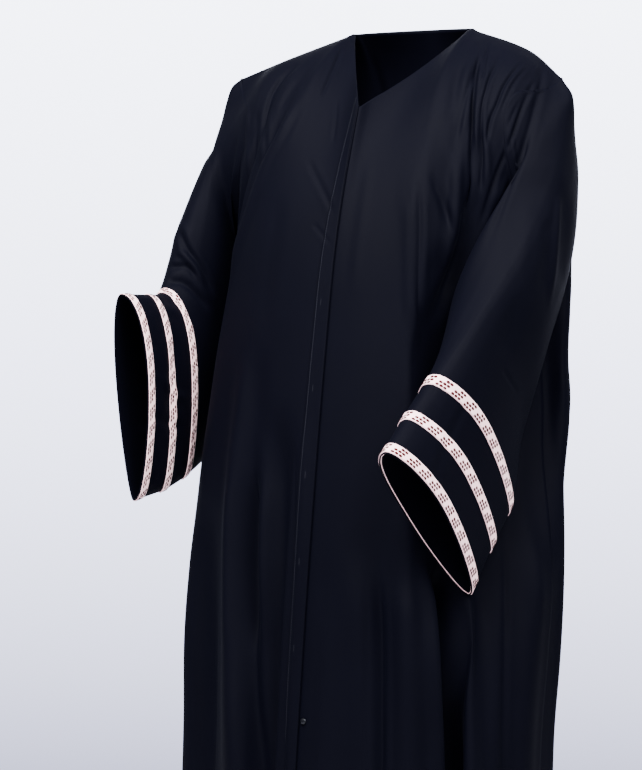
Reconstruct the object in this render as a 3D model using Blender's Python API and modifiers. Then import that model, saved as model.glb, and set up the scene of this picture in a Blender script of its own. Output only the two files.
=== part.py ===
"""Open abaya with a V neck and wide sleeves, worn shape, one solid for each cut and sewn piece.

Metres, +Z up, the front faces -Y and the wearer's left is +X. The origin lies midway between the
two points where the shoulder seams meet the neck. Each panel is a grid of falling columns, laid
over a few named sections and folds, and Solidify gives it the cloth's wall.
"""

import math
from collections import namedtuple

import bpy
import numpy as np
from mathutils import Vector

# Cloth and seams.
WALL = 0.0016
RIBBON_WALL = 0.0010
SEAM_GAP = 0.0005
ARMHOLE_GAP = 0.0014
SEAM_MOST = 0.0030
LAY_GAP = 0.0004

# Body lengths, measured down from the neck points.
CHEST_Z = -0.34
HEM_Z = -1.42
NECK_HALF = 0.078
V_DEPTH = 0.107
V_FORWARD = 0.143

# Front opening: the right front laps over the left, under a stitched band.
LAP_TURN = 0.09
LAP_SINK = 0.0026
LAP_LOWERED = 0.08
BAND_TURN = 0.055
STUD_Z = -0.816
STUD_ASIDE = 0.0060
STUD_RADIUS = 0.0035
STUD_HEIGHT = 0.0022
STUD_SIDES = 24

# Ribbons round each cuff, measured along the cloth from the cuff's edge.
RIBBON_EDGE = 0.0015
RIBBON_WIDTH = 0.0140
RIBBON_PITCH = 0.0520
RIBBON_COUNT = 3

Shoulder = namedtuple("Shoulder", "along x y z")
LEFT_SHOULDER = (
    Shoulder(0.00, 0.078, 0.000, 0.000),
    Shoulder(0.60, 0.158, -0.008, -0.030),
    Shoulder(1.00, 0.203, -0.014, -0.066),
)
RIGHT_SHOULDER = (
    Shoulder(0.00, -0.078, 0.000, 0.000),
    Shoulder(0.55, -0.150, -0.026, -0.030),
    Shoulder(1.00, -0.214, -0.040, -0.056),
)

# How far each armhole is cut in from the side, as a share of its panel's width, where it is deepest.
ARMHOLE_CUT = {("front", 1): 0.27, ("back", 1): 0.20, ("front", -1): 0.24, ("back", -1): 0.20}

ARMHOLE_ROUND = 1.2

# Horizontal sections of the body below the arms.
Section = namedtuple("Section", "z middle front back right left side")
BODY = (
    Section(-0.340, -0.002, -0.199, 0.086, -0.213, 0.200, -0.010),
    Section(-0.430, -0.003, -0.209, 0.087, -0.226, 0.212, -0.015),
    Section(-0.520, -0.005, -0.216, 0.086, -0.230, 0.218, -0.030),
    Section(-0.700, -0.009, -0.226, 0.084, -0.224, 0.218, -0.045),
    Section(-0.900, -0.013, -0.234, 0.084, -0.217, 0.213, -0.055),
    Section(-1.420, -0.020, -0.256, 0.110, -0.231, 0.238, -0.060),
)
FRONT_FULLNESS = 0.80
BACK_FULLNESS = 0.85

# A fold runs from its top to its end; down is 0 at a panel's top edge, 1 at the chest, 2 at the hem.
# across is 0 at the middle and 1 at the side seam, width is in the same measure, and depth is out.
Fold = namedtuple("Fold", "panel top_across top_down end_across end_down width depth")
FOLDS = (
    Fold("front_left", 0.36, 0.00, 0.66, 1.02, 0.040, -0.008),
    Fold("front_left", 0.44, 0.00, 0.72, 0.95, 0.035, 0.007),
    Fold("front_left", 0.50, 0.00, 0.76, 1.10, 0.035, -0.011),
    Fold("front_left", 0.56, 0.05, 0.82, 0.90, 0.035, 0.006),
    Fold("front_left", 0.30, 0.45, 0.40, 1.60, 0.070, 0.006),
    Fold("front_left", 0.44, 0.50, 0.50, 1.45, 0.045, -0.008),
    Fold("front_left", 0.70, 1.02, 0.50, 2.10, 0.110, -0.034),
    Fold("front_left", 0.22, 1.15, 0.24, 2.10, 0.070, -0.007),
    Fold("front_left", 0.10, 1.20, 0.12, 2.10, 0.060, 0.006),
    Fold("front_left", 0.66, 1.30, 0.66, 2.10, 0.060, 0.014),
    Fold("front_left", 0.82, 1.15, 0.82, 2.10, 0.060, -0.010),
    Fold("front_right", 0.40, 0.05, 0.62, 1.00, 0.060, -0.006),
    Fold("front_right", 0.52, 0.30, 0.68, 1.60, 0.090, 0.009),
    Fold("front_right", 0.62, 0.05, 0.78, 1.05, 0.050, -0.010),
    Fold("front_right", 0.30, 0.10, 0.50, 0.80, 0.050, 0.004),
    Fold("front_right", 0.50, 1.20, 0.46, 2.10, 0.070, -0.012),
    Fold("front_right", 0.66, 1.15, 0.62, 2.10, 0.070, 0.012),
    Fold("front_right", 0.82, 1.10, 0.80, 2.10, 0.060, -0.012),
    Fold("front_right", 0.26, 1.30, 0.26, 2.10, 0.070, 0.007),
    Fold("back_left", 0.12, 0.70, 0.16, 2.10, 0.070, 0.010),
    Fold("back_left", 0.32, 0.55, 0.36, 2.10, 0.065, -0.013),
    Fold("back_left", 0.52, 0.60, 0.55, 2.10, 0.070, 0.012),
    Fold("back_left", 0.72, 0.90, 0.74, 2.10, 0.055, -0.012),
    Fold("back_left", 0.90, 1.10, 0.90, 2.10, 0.050, 0.008),
    Fold("back_right", 0.10, 0.75, 0.12, 2.10, 0.060, -0.009),
    Fold("back_right", 0.28, 0.60, 0.32, 2.10, 0.070, 0.012),
    Fold("back_right", 0.48, 0.55, 0.52, 2.10, 0.060, -0.014),
    Fold("back_right", 0.68, 0.80, 0.70, 2.10, 0.060, 0.011),
    Fold("back_right", 0.86, 1.05, 0.86, 2.10, 0.050, -0.010),
)

# Where a panel's top edge changes from neckline to shoulder seam, and how far down the armhole goes.
FRONT_NECK_END = 0.36
BACK_NECK_END = 0.38
NECK_BOW = 0.006
NAPE_BACK = 0.055
NAPE_RISE = 0.010
UNDERARM = 0.82

# How the cloth leaves its top edge, as (aside, outwards, up), and how stiffly it turns to hang.
CHEST_WAY = (0.00, 0.32, -0.95)
NAPE_WAY = (0.00, 0.50, -0.86)
NECK_WAY = (0.08, 0.93, -0.34)
SHOULDER_WAY = (0.10, 0.95, -0.30)
TIP_WAY = (0.30, 0.00, -0.95)
TIP_FROM = 0.55
TIP_SPREAD = 0.6
TIP_SPREAD_FROM = 0.6
COLUMN_HOLD = 0.38

# How the body's cloth is held off by a sleeve: the direction in which it gives way, its clearance,
# how round and how soft the dent is, the sleeve's first row that presses and where it begins.
PRESS_ASIDE = 0.90
PRESS_BACK = 0.43
PRESS_CLEAR = 0.006
PRESS_ROUND = 0.11
PRESS_SOFT = 0.012
PRESS_FROM = 2
PRESS_TOP = 0.15
PRESS_GROWS = 0.45
PRESS_SIDE = 0.02

# How far a sleeve's cloth is lifted off the panel beside its armhole, and where this is looked for.
LIFT = 0.005
LIFT_ROWS = 5
LIFT_REACH = 0.030
LIFT_ASIDE = 0.006
LIFT_SAMPLES = 3

# Grid counts.
LAP_COLUMNS = 2
NECK_COLUMNS = 8
SHOULDER_COLUMNS = 13
YOKE_ROWS = (0.0, 0.035, 0.09, 0.17, 0.26, 0.35, 0.45, 0.54, 0.64, 0.73, UNDERARM, 0.91)
SKIRT_ROWS = (1.0, 1.05, 1.10, 1.16, 1.22, 1.29, 1.37, 1.46, 1.56, 1.68, 1.84, 2.0)

# Sections along a sleeve. over is the arm's line and under the hanging seam. The front layer
# stands out by front in the direction facing, degrees from straight ahead towards the body's
# middle, and the back layer by back the other way.
Sleeve = namedtuple("Sleeve", "over under facing front back")
LEFT_SLEEVE = (
    Sleeve((0.212, -0.035, -0.125), (0.190, -0.002, -0.350), 25, 0.068, 0.034),
    Sleeve((0.210, -0.080, -0.205), (0.176, -0.015, -0.397), 45, 0.080, 0.028),
    Sleeve((0.197, -0.130, -0.280), (0.175, -0.035, -0.447), 68, 0.078, 0.018),
    Sleeve((0.178, -0.175, -0.342), (0.172, -0.060, -0.505), 88, 0.062, 0.018),
    Sleeve((0.161, -0.215, -0.398), (0.170, -0.088, -0.563), 96, 0.046, 0.020),
    Sleeve((0.147, -0.256, -0.446), (0.164, -0.117, -0.620), 100, 0.036, 0.023),
    Sleeve((0.136, -0.295, -0.496), (0.152, -0.142, -0.673), 106, 0.030, 0.028),
)
RIGHT_SLEEVE = (
    Sleeve((-0.236, -0.055, -0.130), (-0.222, 0.020, -0.335), 20, 0.058, 0.036),
    Sleeve((-0.247, -0.090, -0.205), (-0.234, 0.046, -0.380), 42, 0.054, 0.034),
    Sleeve((-0.252, -0.120, -0.262), (-0.242, 0.048, -0.438), 64, 0.048, 0.032),
    Sleeve((-0.253, -0.145, -0.312), (-0.246, 0.006, -0.490), 78, 0.040, 0.028),
    Sleeve((-0.252, -0.178, -0.334), (-0.243, -0.072, -0.528), 86, 0.036, 0.024),
    Sleeve((-0.256, -0.209, -0.341), (-0.241, -0.151, -0.556), 90, 0.037, 0.020),
    Sleeve((-0.262, -0.241, -0.339), (-0.242, -0.233, -0.576), 92, 0.036, 0.018),
)
# How narrow a section is towards its under line, and the sleeve's rows above the ribbons.
ARM_HOLD = 0.45
SLEEVE_SHARES = (0.0, 0.05, 0.12, 0.22, 0.35, 0.5, 0.65, 0.8, 0.92)
LINE_SAMPLES = 90

# How far and how steeply a sleeve's cloth leaves the armhole's edge, fading towards the shoulder.
LEAVE_ASIDE = 0.014
LEAVE_OUT = 0.9
LEAVE_KEY = 0.25
LEAVE_STEPS = 5

# Colours (linear) and finish.
Cloth = namedtuple("Cloth", "colour roughness metallic")
BLACK_CREPE = Cloth((0.008, 0.009, 0.014, 1.0), 0.72, 0.0)
PALE_RIBBON = Cloth((0.78, 0.66, 0.64, 1.0), 0.65, 0.0)
STEEL = Cloth((0.45, 0.45, 0.47, 1.0), 0.30, 1.0)


def unit(vector):
    return vector / max(np.linalg.norm(vector), 1e-9)


def ease(share):
    share = min(max(share, 0.0), 1.0)
    return share * share * (3.0 - 2.0 * share)


def curve_through(keys, values, at):
    """Read a smooth curve through values placed at keys; it runs straight on past the ends."""
    keys = list(keys)
    values = [np.asarray(value, dtype=float) for value in values]
    slopes = []
    for i in range(len(keys)):
        before, after = max(i - 1, 0), min(i + 1, len(keys) - 1)
        slopes.append((values[after] - values[before]) / (keys[after] - keys[before]))
    if at <= keys[0]:
        return values[0] + slopes[0] * (at - keys[0])
    if at >= keys[-1]:
        return values[-1] + slopes[-1] * (at - keys[-1])
    i = next(k for k in range(len(keys) - 1) if at <= keys[k + 1])
    span = keys[i + 1] - keys[i]
    t = (at - keys[i]) / span
    start = (1 + 2 * t) * (1 - t) ** 2 * values[i] + t * (1 - t) ** 2 * span * slopes[i]
    end = t * t * (3 - 2 * t) * values[i + 1] + t * t * (t - 1) * span * slopes[i + 1]
    return start + end


def bend(points, t):
    """Read a cubic curve from its four guide points."""
    a, b, c, d = (np.asarray(point, dtype=float) for point in points)
    return (1 - t) ** 3 * a + 3 * t * (1 - t) ** 2 * b + 3 * t * t * (1 - t) * c + t ** 3 * d


def shoulder_point(rows, along):
    return curve_through([row.along for row in rows], [row[1:] for row in rows], along)


def body_point(side, turn, z):
    """A point of the body's section at height z; turn is 0 at the front, 1 at the side, 2 behind."""
    heights = [-row.z for row in BODY]
    row = Section(z, *curve_through(heights, [row[1:] for row in BODY], -z))
    angle = turn * math.pi / 2
    reach = (row.left if side > 0 else row.right) - row.middle
    x = row.middle + reach * math.sin(angle)
    depth = abs(math.cos(angle))
    if turn <= 1:
        y = row.side + (row.front - row.side) * depth ** FRONT_FULLNESS
    else:
        y = row.side + (row.back - row.side) * depth ** BACK_FULLNESS
    return np.array((x, y, z))


def way_of(side, outwards, way):
    """A direction given as (aside, outwards, up) for one side of the body, in front or behind."""
    return np.array((side * way[0], outwards * way[1], way[2]))


def shoulder_top(side, outwards, along):
    """A point of the shoulder seam and the direction in which the cloth leaves it."""
    neck_way = way_of(side, outwards, NECK_WAY)
    way = neck_way + (way_of(side, outwards, SHOULDER_WAY) - neck_way) * along
    way += (way_of(side, outwards, TIP_WAY) - way) * ease((along - TIP_FROM) / (1 - TIP_FROM))
    rows = LEFT_SHOULDER if side > 0 else RIGHT_SHOULDER
    return shoulder_point(rows, along), unit(way)


def front_top(side, across):
    """The front's top edge and the direction in which the cloth leaves it."""
    if across > FRONT_NECK_END:
        return shoulder_top(side, -1, (across - FRONT_NECK_END) / (1 - FRONT_NECK_END))
    along = across / FRONT_NECK_END
    tip = np.array((0.0, -V_FORWARD, -V_DEPTH))
    neck = np.array((side * NECK_HALF, 0.0, 0.0))
    bow = np.array((0.0, 0.0, -NECK_BOW * math.sin(math.pi * along)))
    chest_way = way_of(side, -1, CHEST_WAY)
    way = chest_way + (way_of(side, -1, NECK_WAY) - chest_way) * along
    return tip + (neck - tip) * along + bow, unit(way)


def back_top(side, across):
    """The back's top edge and the direction in which the cloth leaves it."""
    if across > BACK_NECK_END:
        return shoulder_top(side, 1, (across - BACK_NECK_END) / (1 - BACK_NECK_END))
    along = across / BACK_NECK_END
    angle = along * math.pi / 2
    rise = math.cos(angle)
    point = np.array((side * NECK_HALF * math.sin(angle), NAPE_BACK * rise, NAPE_RISE * rise))
    nape_way = way_of(side, 1, NAPE_WAY)
    return point, unit(nape_way + (way_of(side, 1, NECK_WAY) - nape_way) * along)


def falling_column(top, way, side, turn, down):
    """A point of one falling column, down from 0 at its top edge through 1 at the chest to 2."""
    if down >= 1:
        return body_point(side, turn, CHEST_Z + (HEM_Z - CHEST_Z) * (down - 1))
    foot = body_point(side, turn, CHEST_Z)
    below = body_point(side, turn, CHEST_Z - 0.02)
    reach = np.linalg.norm(foot - top)
    hold = reach * COLUMN_HOLD
    return bend((top, top + way * hold, foot + unit(foot - below) * hold, foot), down)


def panel_point(panel, side, across, down):
    """A point of a front or of half the back, before its folds. Beside the armhole the columns
    crowd towards the middle, which leaves the armhole's curve as the panel's edge."""
    if down < UNDERARM:
        cut = ARMHOLE_CUT[panel, side] * math.sin(math.pi * down / UNDERARM) ** ARMHOLE_ROUND
        across -= cut * max(across, 0.0) ** 3
    top, way = (front_top if panel == "front" else back_top)(side, across)
    at_tip = ease((across - TIP_SPREAD_FROM) / (1 - TIP_SPREAD_FROM)) * (1 - ease(down / UNDERARM))
    outwards = -1 if panel == "front" else 1
    way = unit(way + np.array((0.0, outwards * TIP_SPREAD * at_tip, 0.0)))
    turn = across if panel == "front" else 2 - across
    return falling_column(top, way, side, turn, down)


def fold_depth(panel, across, down):
    """How far the folds push a panel out at a place."""
    depth = 0.0
    for fold in FOLDS:
        if fold.panel != panel:
            continue
        run = (down - fold.top_down) / (fold.end_down - fold.top_down)
        if not 0 <= run <= 1:
            continue
        middle = fold.top_across + (fold.end_across - fold.top_across) * run
        bell = math.exp(-(((across - middle) / fold.width) ** 2))
        depth += fold.depth * bell * ease(run / 0.25) * ease((1 - run) / 0.25)
    return depth


def grid_normals(points):
    """Normals of a grid, to the right of its columns' order as seen along their fall."""
    along = np.gradient(points, axis=0)
    down = np.gradient(points, axis=1)
    normals = np.cross(along, down)
    return normals / np.maximum(np.linalg.norm(normals, axis=2, keepdims=True), 1e-9)


def open_seam(edge, inner, other_edge, other_inner):
    """How far each point of two joined edges draws back into its own piece: half the seam's gap,
    and more where the pieces meet at an angle, so that their walls stay clear."""
    into = inner - edge
    into /= np.linalg.norm(into, axis=1, keepdims=True)
    other_into = other_inner - other_edge
    other_into /= np.linalg.norm(other_into, axis=1, keepdims=True)
    bend_cosine = np.clip(-(into * other_into).sum(axis=1), -1.0, 1.0)
    slope = np.tan(np.arccos(bend_cosine) / 2)
    back = np.minimum(SEAM_GAP / 2 + WALL / 2 * slope, SEAM_MOST)[:, None]
    return into * back, other_into * back


def set_in(edge, inner, normals, sleeve):
    """How far each point of a sleeve's edge moves clear of the panel's edge that it is sewn to:
    beyond it where the cloth runs on, and over it where the sleeve's cloth turns back."""
    onward = edge - inner
    onward -= normals * (onward * normals).sum(axis=1)[:, None]
    onward /= np.linalg.norm(onward, axis=1, keepdims=True)
    leaves = sleeve[:, 1] - sleeve[:, 0]
    leaves /= np.linalg.norm(leaves, axis=1, keepdims=True)
    angle = np.arctan2((leaves * normals).sum(axis=1), (leaves * onward).sum(axis=1))
    beyond = ARMHOLE_GAP + WALL / 2 * np.abs(np.sin(angle))
    over = np.sign(angle) * (WALL / 2 + ARMHOLE_GAP / 2) * (1 - np.cos(angle))
    return onward * beyond[:, None] + normals * over[:, None]


def lay_over(sleeve, chosen, panel, normals):
    """Lift the chosen columns of a sleeve off the panel that they lie on, next to the armhole."""
    spots, facing, at_edge = [], [], []
    shares = [k / LIFT_SAMPLES for k in range(LIFT_SAMPLES)]
    for i in range(len(panel) - 1):
        for t in shares:
            line = panel[i] * (1 - t) + panel[i + 1] * t
            out = normals[i] * (1 - t) + normals[i + 1] * t
            for u in shares:
                spots.append(line[:-1] * (1 - u) + line[1:] * u)
                facing.append(out[:-1] * (1 - u) + out[1:] * u)
    spots = np.concatenate(spots)
    facing = np.concatenate(facing)
    for i in chosen:
        for j in range(1, LIFT_ROWS + 1):
            for _ in range(2):
                place = sleeve[i, j]
                nearest = np.argmin(((spots - place) ** 2).sum(axis=1))
                out = unit(facing[nearest])
                height = (place - spots[nearest]) @ out
                aside = np.linalg.norm(place - spots[nearest] - height * out)
                if abs(height) < LIFT_REACH and aside < LIFT_ASIDE:
                    sleeve[i, j] = place + out * max(LIFT - height, 0.0)


def steps(start, end, count):
    return [start + (end - start) * k / count for k in range(count)]


def front_columns(lap):
    columns = steps(0.0, FRONT_NECK_END, NECK_COLUMNS) + steps(FRONT_NECK_END, 1.0, SHOULDER_COLUMNS) + [1.0]
    if lap:
        return steps(-LAP_TURN, 0.0, LAP_COLUMNS) + columns
    return [0.0, BAND_TURN] + columns[2:]


def panel_rows():
    return list(YOKE_ROWS) + list(SKIRT_ROWS)


def hold_off(points, columns, sleeve, side):
    """Drape the body's cloth round a sleeve: each of its points holds the cloth off, more gently
    the further aside it lies."""
    inward = unit(np.array((-side * PRESS_ASIDE, PRESS_BACK, 0.0)))
    obstacle = sleeve[:, PRESS_FROM:].reshape(-1, 3)
    reach = obstacle @ inward
    flat = obstacle - reach[:, None] * inward
    for j, down in enumerate(panel_rows()):
        for i, across in enumerate(columns):
            share = ease((down - PRESS_TOP) / PRESS_GROWS)
            place = points[i, j]
            if share == 0 or side * place[0] < PRESS_SIDE:
                continue
            along = place @ inward
            aside = flat - (place - along * inward)
            limit = (reach + PRESS_CLEAR - (aside ** 2).sum(axis=1) / (2 * PRESS_ROUND)).max()
            gap = along - limit
            kept = limit + (gap + math.sqrt(gap * gap + PRESS_SOFT ** 2)) / 2
            points[i, j] = place + inward * max(kept - along, 0.0) * share


def front_grid(side, sleeve):
    name = "front_left" if side > 0 else "front_right"
    columns = front_columns(lap=side > 0)
    rows = panel_rows()
    points = np.zeros((len(columns), len(rows), 3))
    depths = np.zeros((len(columns), len(rows)))
    for i, across in enumerate(columns):
        for j, down in enumerate(rows):
            if across < 0:
                lowered = down + LAP_LOWERED * across / LAP_TURN * min(down - 1, 0.0)
                points[i, j] = panel_point("front", -side, -across, lowered)
            else:
                points[i, j] = panel_point("front", side, across, down)
            depths[i, j] = fold_depth(name, across, down)
            if side > 0:
                depths[i, j] -= LAP_SINK * (1 - ease(across / 0.14))
    points -= side * grid_normals(points) * depths[:, :, None]
    hold_off(points, columns, sleeve, side)
    return points


def back_grid(sleeves):
    half = steps(0.0, BACK_NECK_END, NECK_COLUMNS) + steps(BACK_NECK_END, 1.0, SHOULDER_COLUMNS) + [1.0]
    columns = [-across for across in reversed(half[1:])] + half
    rows = panel_rows()
    points = np.zeros((len(columns), len(rows), 3))
    depths = np.zeros((len(columns), len(rows)))
    for i, across in enumerate(columns):
        side = 1 if across >= 0 else -1
        for j, down in enumerate(rows):
            points[i, j] = panel_point("back", side, abs(across), down)
            panel = "back_left" if side > 0 else "back_right"
            depths[i, j] = fold_depth(panel, abs(across), down)
    points += grid_normals(points) * depths[:, :, None]
    for side, sleeve in sleeves.items():
        hold_off(points, columns, sleeve, side)
    return points


def sleeve_ring(row, side, around):
    """A point round a sleeve's section; around runs 0 over, 0.5 under by the front, back to 1."""
    over, under = np.array(row.over), np.array(row.under)
    facing = math.radians(row.facing)
    outward = np.array((-side * math.sin(facing), -math.cos(facing), 0.0))
    half = 2 * around if around <= 0.5 else 2 - 2 * around
    fall = (1 - math.cos(math.pi * half)) / 2
    spread = math.sin(math.pi * half) * (1 - ARM_HOLD * fall) / (1 - ARM_HOLD * 0.35)
    width = row.front if around <= 0.5 else -row.back
    return over + (under - over) * fall + outward * spread * width


def ribbon_edges():
    """Both edges of each ribbon, as distances from the cuff."""
    starts = [RIBBON_EDGE + k * RIBBON_PITCH for k in range(RIBBON_COUNT)]
    return [(start, start + RIBBON_WIDTH) for start in starts]


def read_at(samples, lengths, distance):
    return np.array([np.interp(distance, lengths, samples[:, axis]) for axis in range(3)])


def armhole_edge(side):
    """The armhole as it is cut, from the shoulder tip down the front and up the back."""
    shares = [down / UNDERARM for down in YOKE_ROWS if down <= UNDERARM]
    front = [panel_point("front", side, 1.0, share * UNDERARM) for share in shares]
    return front + [panel_point("back", side, 1.0, share * UNDERARM) for share in reversed(shares[1:-1])]


def sleeve_grid(side, edge, leaves):
    """Points of a sleeve's cloth: the rows run from the armhole's edge, which the cloth leaves
    towards the guides in leaves, to the cuff, and near the cuff they lie at the ribbons' edges,
    the same distance from the cuff all round."""
    rows = LEFT_SLEEVE if side > 0 else RIGHT_SLEEVE
    halves = [down / UNDERARM / 2 for down in YOKE_ROWS if down <= UNDERARM]
    rounds = halves + [1 - half for half in reversed(halves[1:-1])]
    near_cuff = [distance for edges in ribbon_edges() for distance in edges]
    grid = []
    keys = [0.0, LEAVE_KEY] + list(range(1, len(rows) + 1))
    for start, guide, around in zip(edge, leaves, rounds):
        line = [start, guide] + [sleeve_ring(row, side, around) for row in rows]
        samples = np.array([curve_through(keys, line, keys[-1] * (1 - k / LINE_SAMPLES))
                            for k in range(LINE_SAMPLES + 1)])
        lengths = np.concatenate(([0.0], np.cumsum(np.linalg.norm(np.diff(samples, axis=0), axis=1))))
        plain = lengths[-1] - near_cuff[-1]
        distances = [lengths[-1] - plain * share for share in SLEEVE_SHARES]
        distances += list(reversed(near_cuff)) + [0.0]
        grid.append([read_at(samples, lengths, distance) for distance in distances])
    return np.array(grid)


def round_normals(points):
    """Outward normals of a grid whose columns close on themselves."""
    along = np.roll(points, -1, axis=0) - np.roll(points, 1, axis=0)
    down = np.gradient(points, axis=1)
    normals = np.cross(along, down)
    return normals / np.maximum(np.linalg.norm(normals, axis=2, keepdims=True), 1e-9)


def finish(cloth, name):
    material = bpy.data.materials.new(name)
    material.use_nodes = True
    shader = material.node_tree.nodes["Principled BSDF"]
    shader.inputs["Base Color"].default_value = cloth.colour
    shader.inputs["Roughness"].default_value = cloth.roughness
    shader.inputs["Metallic"].default_value = cloth.metallic
    return material


def cloth_piece(name, points, wall, material, closed=False, flip=False):
    """Make the open surface of a grid of points and give it a wall."""
    across, down = points.shape[:2]
    faces = []
    for i in range(across if closed else across - 1):
        k = (i + 1) % across
        for j in range(down - 1):
            quad = (i * down + j, i * down + j + 1, k * down + j + 1, k * down + j)
            faces.append(quad[::-1] if flip else quad)
    mesh = bpy.data.meshes.new(name)
    mesh.from_pydata([tuple(point) for point in points.reshape(-1, 3)], [], faces)
    mesh.materials.append(material)
    mesh.shade_smooth()
    piece = bpy.data.objects.new(name, mesh)
    parts.objects.link(piece)
    wall_step = piece.modifiers.new("wall", "SOLIDIFY")
    wall_step.thickness = wall
    wall_step.offset = 0.0
    wall_step.use_quality_normals = True
    return piece


def press_stud(name, grid, column, material):
    """A low round stud with a domed cap, sitting on a panel just aside of one of its columns."""
    row = next(j for j in range(grid.shape[1]) if grid[column, j, 2] < STUD_Z)
    above, below = grid[column, row - 1], grid[column, row]
    share = (STUD_Z - above[2]) / (below[2] - above[2])
    place = above + (below - above) * share
    aside = unit(grid[column + 1, row] - grid[column, row])
    outward = unit(np.cross(below - above, aside))
    place += aside * STUD_ASIDE + outward * (WALL / 2 + LAY_GAP)
    cap = ((0.0, 1.0), (0.55, 1.0), (0.85, 0.8), (1.0, 0.4), (1.0, 0.0), (0.0, 0.0))
    points = [(STUD_RADIUS * reach, 0.0, STUD_HEIGHT * rise) for reach, rise in cap]
    mesh = bpy.data.meshes.new(name)
    mesh.from_pydata(points, [(k, k + 1) for k in range(len(cap) - 1)], [])
    mesh.materials.append(material)
    stud = bpy.data.objects.new(name, mesh)
    parts.objects.link(stud)
    turned = stud.modifiers.new("turned", "SCREW")
    turned.steps = turned.render_steps = STUD_SIDES
    turned.use_merge_vertices = True
    turned.merge_threshold = 0.00005
    stud.location = place
    stud.rotation_mode = "QUATERNION"
    stud.rotation_quaternion = Vector(outward).to_track_quat("Z", "Y")
    return stud


for old in list(bpy.data.objects):
    bpy.data.objects.remove(old)
parts = bpy.data.collections.new("abaya")
bpy.context.scene.collection.children.link(parts)

crepe = finish(BLACK_CREPE, "black crepe")
ribbon = finish(PALE_RIBBON, "pale ribbon")
steel = finish(STEEL, "press stud steel")

sleeves = {}
for side in (1, -1):
    cut_edge = np.array(armhole_edge(side))
    sleeves[side] = sleeve_grid(side, cut_edge, cut_edge + LEAVE_ASIDE * np.array((side, 0.0, 0.0)))
fronts = {side: front_grid(side, sleeves[side]) for side in (1, -1)}
back = back_grid(sleeves)
band = fronts[-1][0:2] + grid_normals(fronts[-1])[0:2] * (WALL / 2 + LAY_GAP + RIBBON_WALL / 2)

# Each sleeve is sewn to the edge as it now hangs, lies over the panels beside it and is set clear.
middle = len(back) // 2
under = YOKE_ROWS.index(UNDERARM)
for side, front in fronts.items():
    outer = -1 if side > 0 else 0
    edge = np.concatenate((front[-1, :under + 1], back[outer, under - 1:0:-1]))
    inside = np.concatenate((front[-2, :under + 1], back[outer - side, under - 1:0:-1]))
    out = np.concatenate((-side * grid_normals(front)[-1, :under + 1],
                          grid_normals(back)[outer, under - 1:0:-1]))
    onward = edge - inside
    onward /= np.linalg.norm(onward, axis=1, keepdims=True)
    from_tip = np.array([min(k, len(edge) - k) for k in range(len(edge))])
    reach = LEAVE_ASIDE * np.minimum(from_tip / LEAVE_STEPS, 1.0)[:, None]
    sleeves[side] = sleeve_grid(side, edge, edge + reach * (onward + LEAVE_OUT * out))
out_of_back = grid_normals(back)
sleeve_shifts = {}
for side, sleeve in sleeves.items():
    front = fronts[side]
    out_of_front = -side * grid_normals(front)
    outer = -1 if side > 0 else 0
    inner = outer - side
    by_front = list(range(under + 1))
    by_back = [0] + list(range(len(sleeve) - 1, under - 1, -1))
    lay_over(sleeve, by_front, front, out_of_front)
    lay_over(sleeve, by_back[1:-1], back, out_of_back)
    shift = np.zeros((len(sleeve), 3))
    shift[by_back] = set_in(back[outer, :under + 1], back[inner, :under + 1],
                            out_of_back[outer, :under + 1], sleeve[by_back])
    ends = shift[[0, under]].copy()
    shift[by_front] = set_in(front[-1, :under + 1], front[-2, :under + 1],
                             out_of_front[-1, :under + 1], sleeve[by_front])
    shift[[0, under]] = (shift[[0, under]] + ends) / 2
    sleeve_shifts[side] = shift

# Open the shoulder and side seams: each pair of edges is drawn back into its own piece.
back_shifts = np.zeros_like(back)
front_shifts = {side: np.zeros_like(front) for side, front in fronts.items()}
for side, front in fronts.items():
    outer = -1 if side > 0 else 0
    inner = outer - side
    neck = NECK_COLUMNS + (LAP_COLUMNS if side > 0 else 0)
    along = slice(middle + NECK_COLUMNS, None) if side > 0 else slice(middle - NECK_COLUMNS, None, -1)
    front_moves, back_moves = open_seam(front[neck:, 0], front[neck:, 1], back[along, 0], back[along, 1])
    front_shifts[side][neck:, 0] += front_moves
    back_shifts[along, 0] += back_moves
    front_moves, back_moves = open_seam(
        front[-1, under:], front[-2, under:], back[outer, under:], back[inner, under:])
    front_shifts[side][-1, under:] += front_moves
    back_shifts[outer, under:] += back_moves
for side, sleeve in sleeves.items():
    sleeve[:, 0] += sleeve_shifts[side]

cloth_piece("front_left", fronts[1] + front_shifts[1], WALL, crepe, flip=False)
cloth_piece("front_right", fronts[-1] + front_shifts[-1], WALL, crepe, flip=True)
cloth_piece("back", back + back_shifts, WALL, crepe, flip=True)
cloth_piece("placket_band", band, RIBBON_WALL, crepe, flip=True)
press_stud("press_stud", fronts[1], LAP_COLUMNS, steel)

for side, word in ((1, "left"), (-1, "right")):
    sleeve = sleeves[side]
    normals = side * round_normals(sleeve)
    for number in range(1, RIBBON_COUNT + 1):
        far = -1 - 2 * number
        rows = [far, far + 1]
        strip = sleeve[:, rows] + normals[:, rows] * (WALL / 2 + LAY_GAP + RIBBON_WALL / 2)
        cloth_piece(f"ribbon_{word}_{number}", strip, RIBBON_WALL, ribbon, closed=True, flip=side > 0)
    cloth_piece(f"sleeve_{word}", sleeve, WALL, crepe, closed=True, flip=side > 0)
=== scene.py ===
"""The abaya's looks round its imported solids, in metres; -Y is the front, +X the wearer's left."""

import math
from collections import namedtuple

import bpy
import numpy as np
from mathutils import Matrix, Vector


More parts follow.
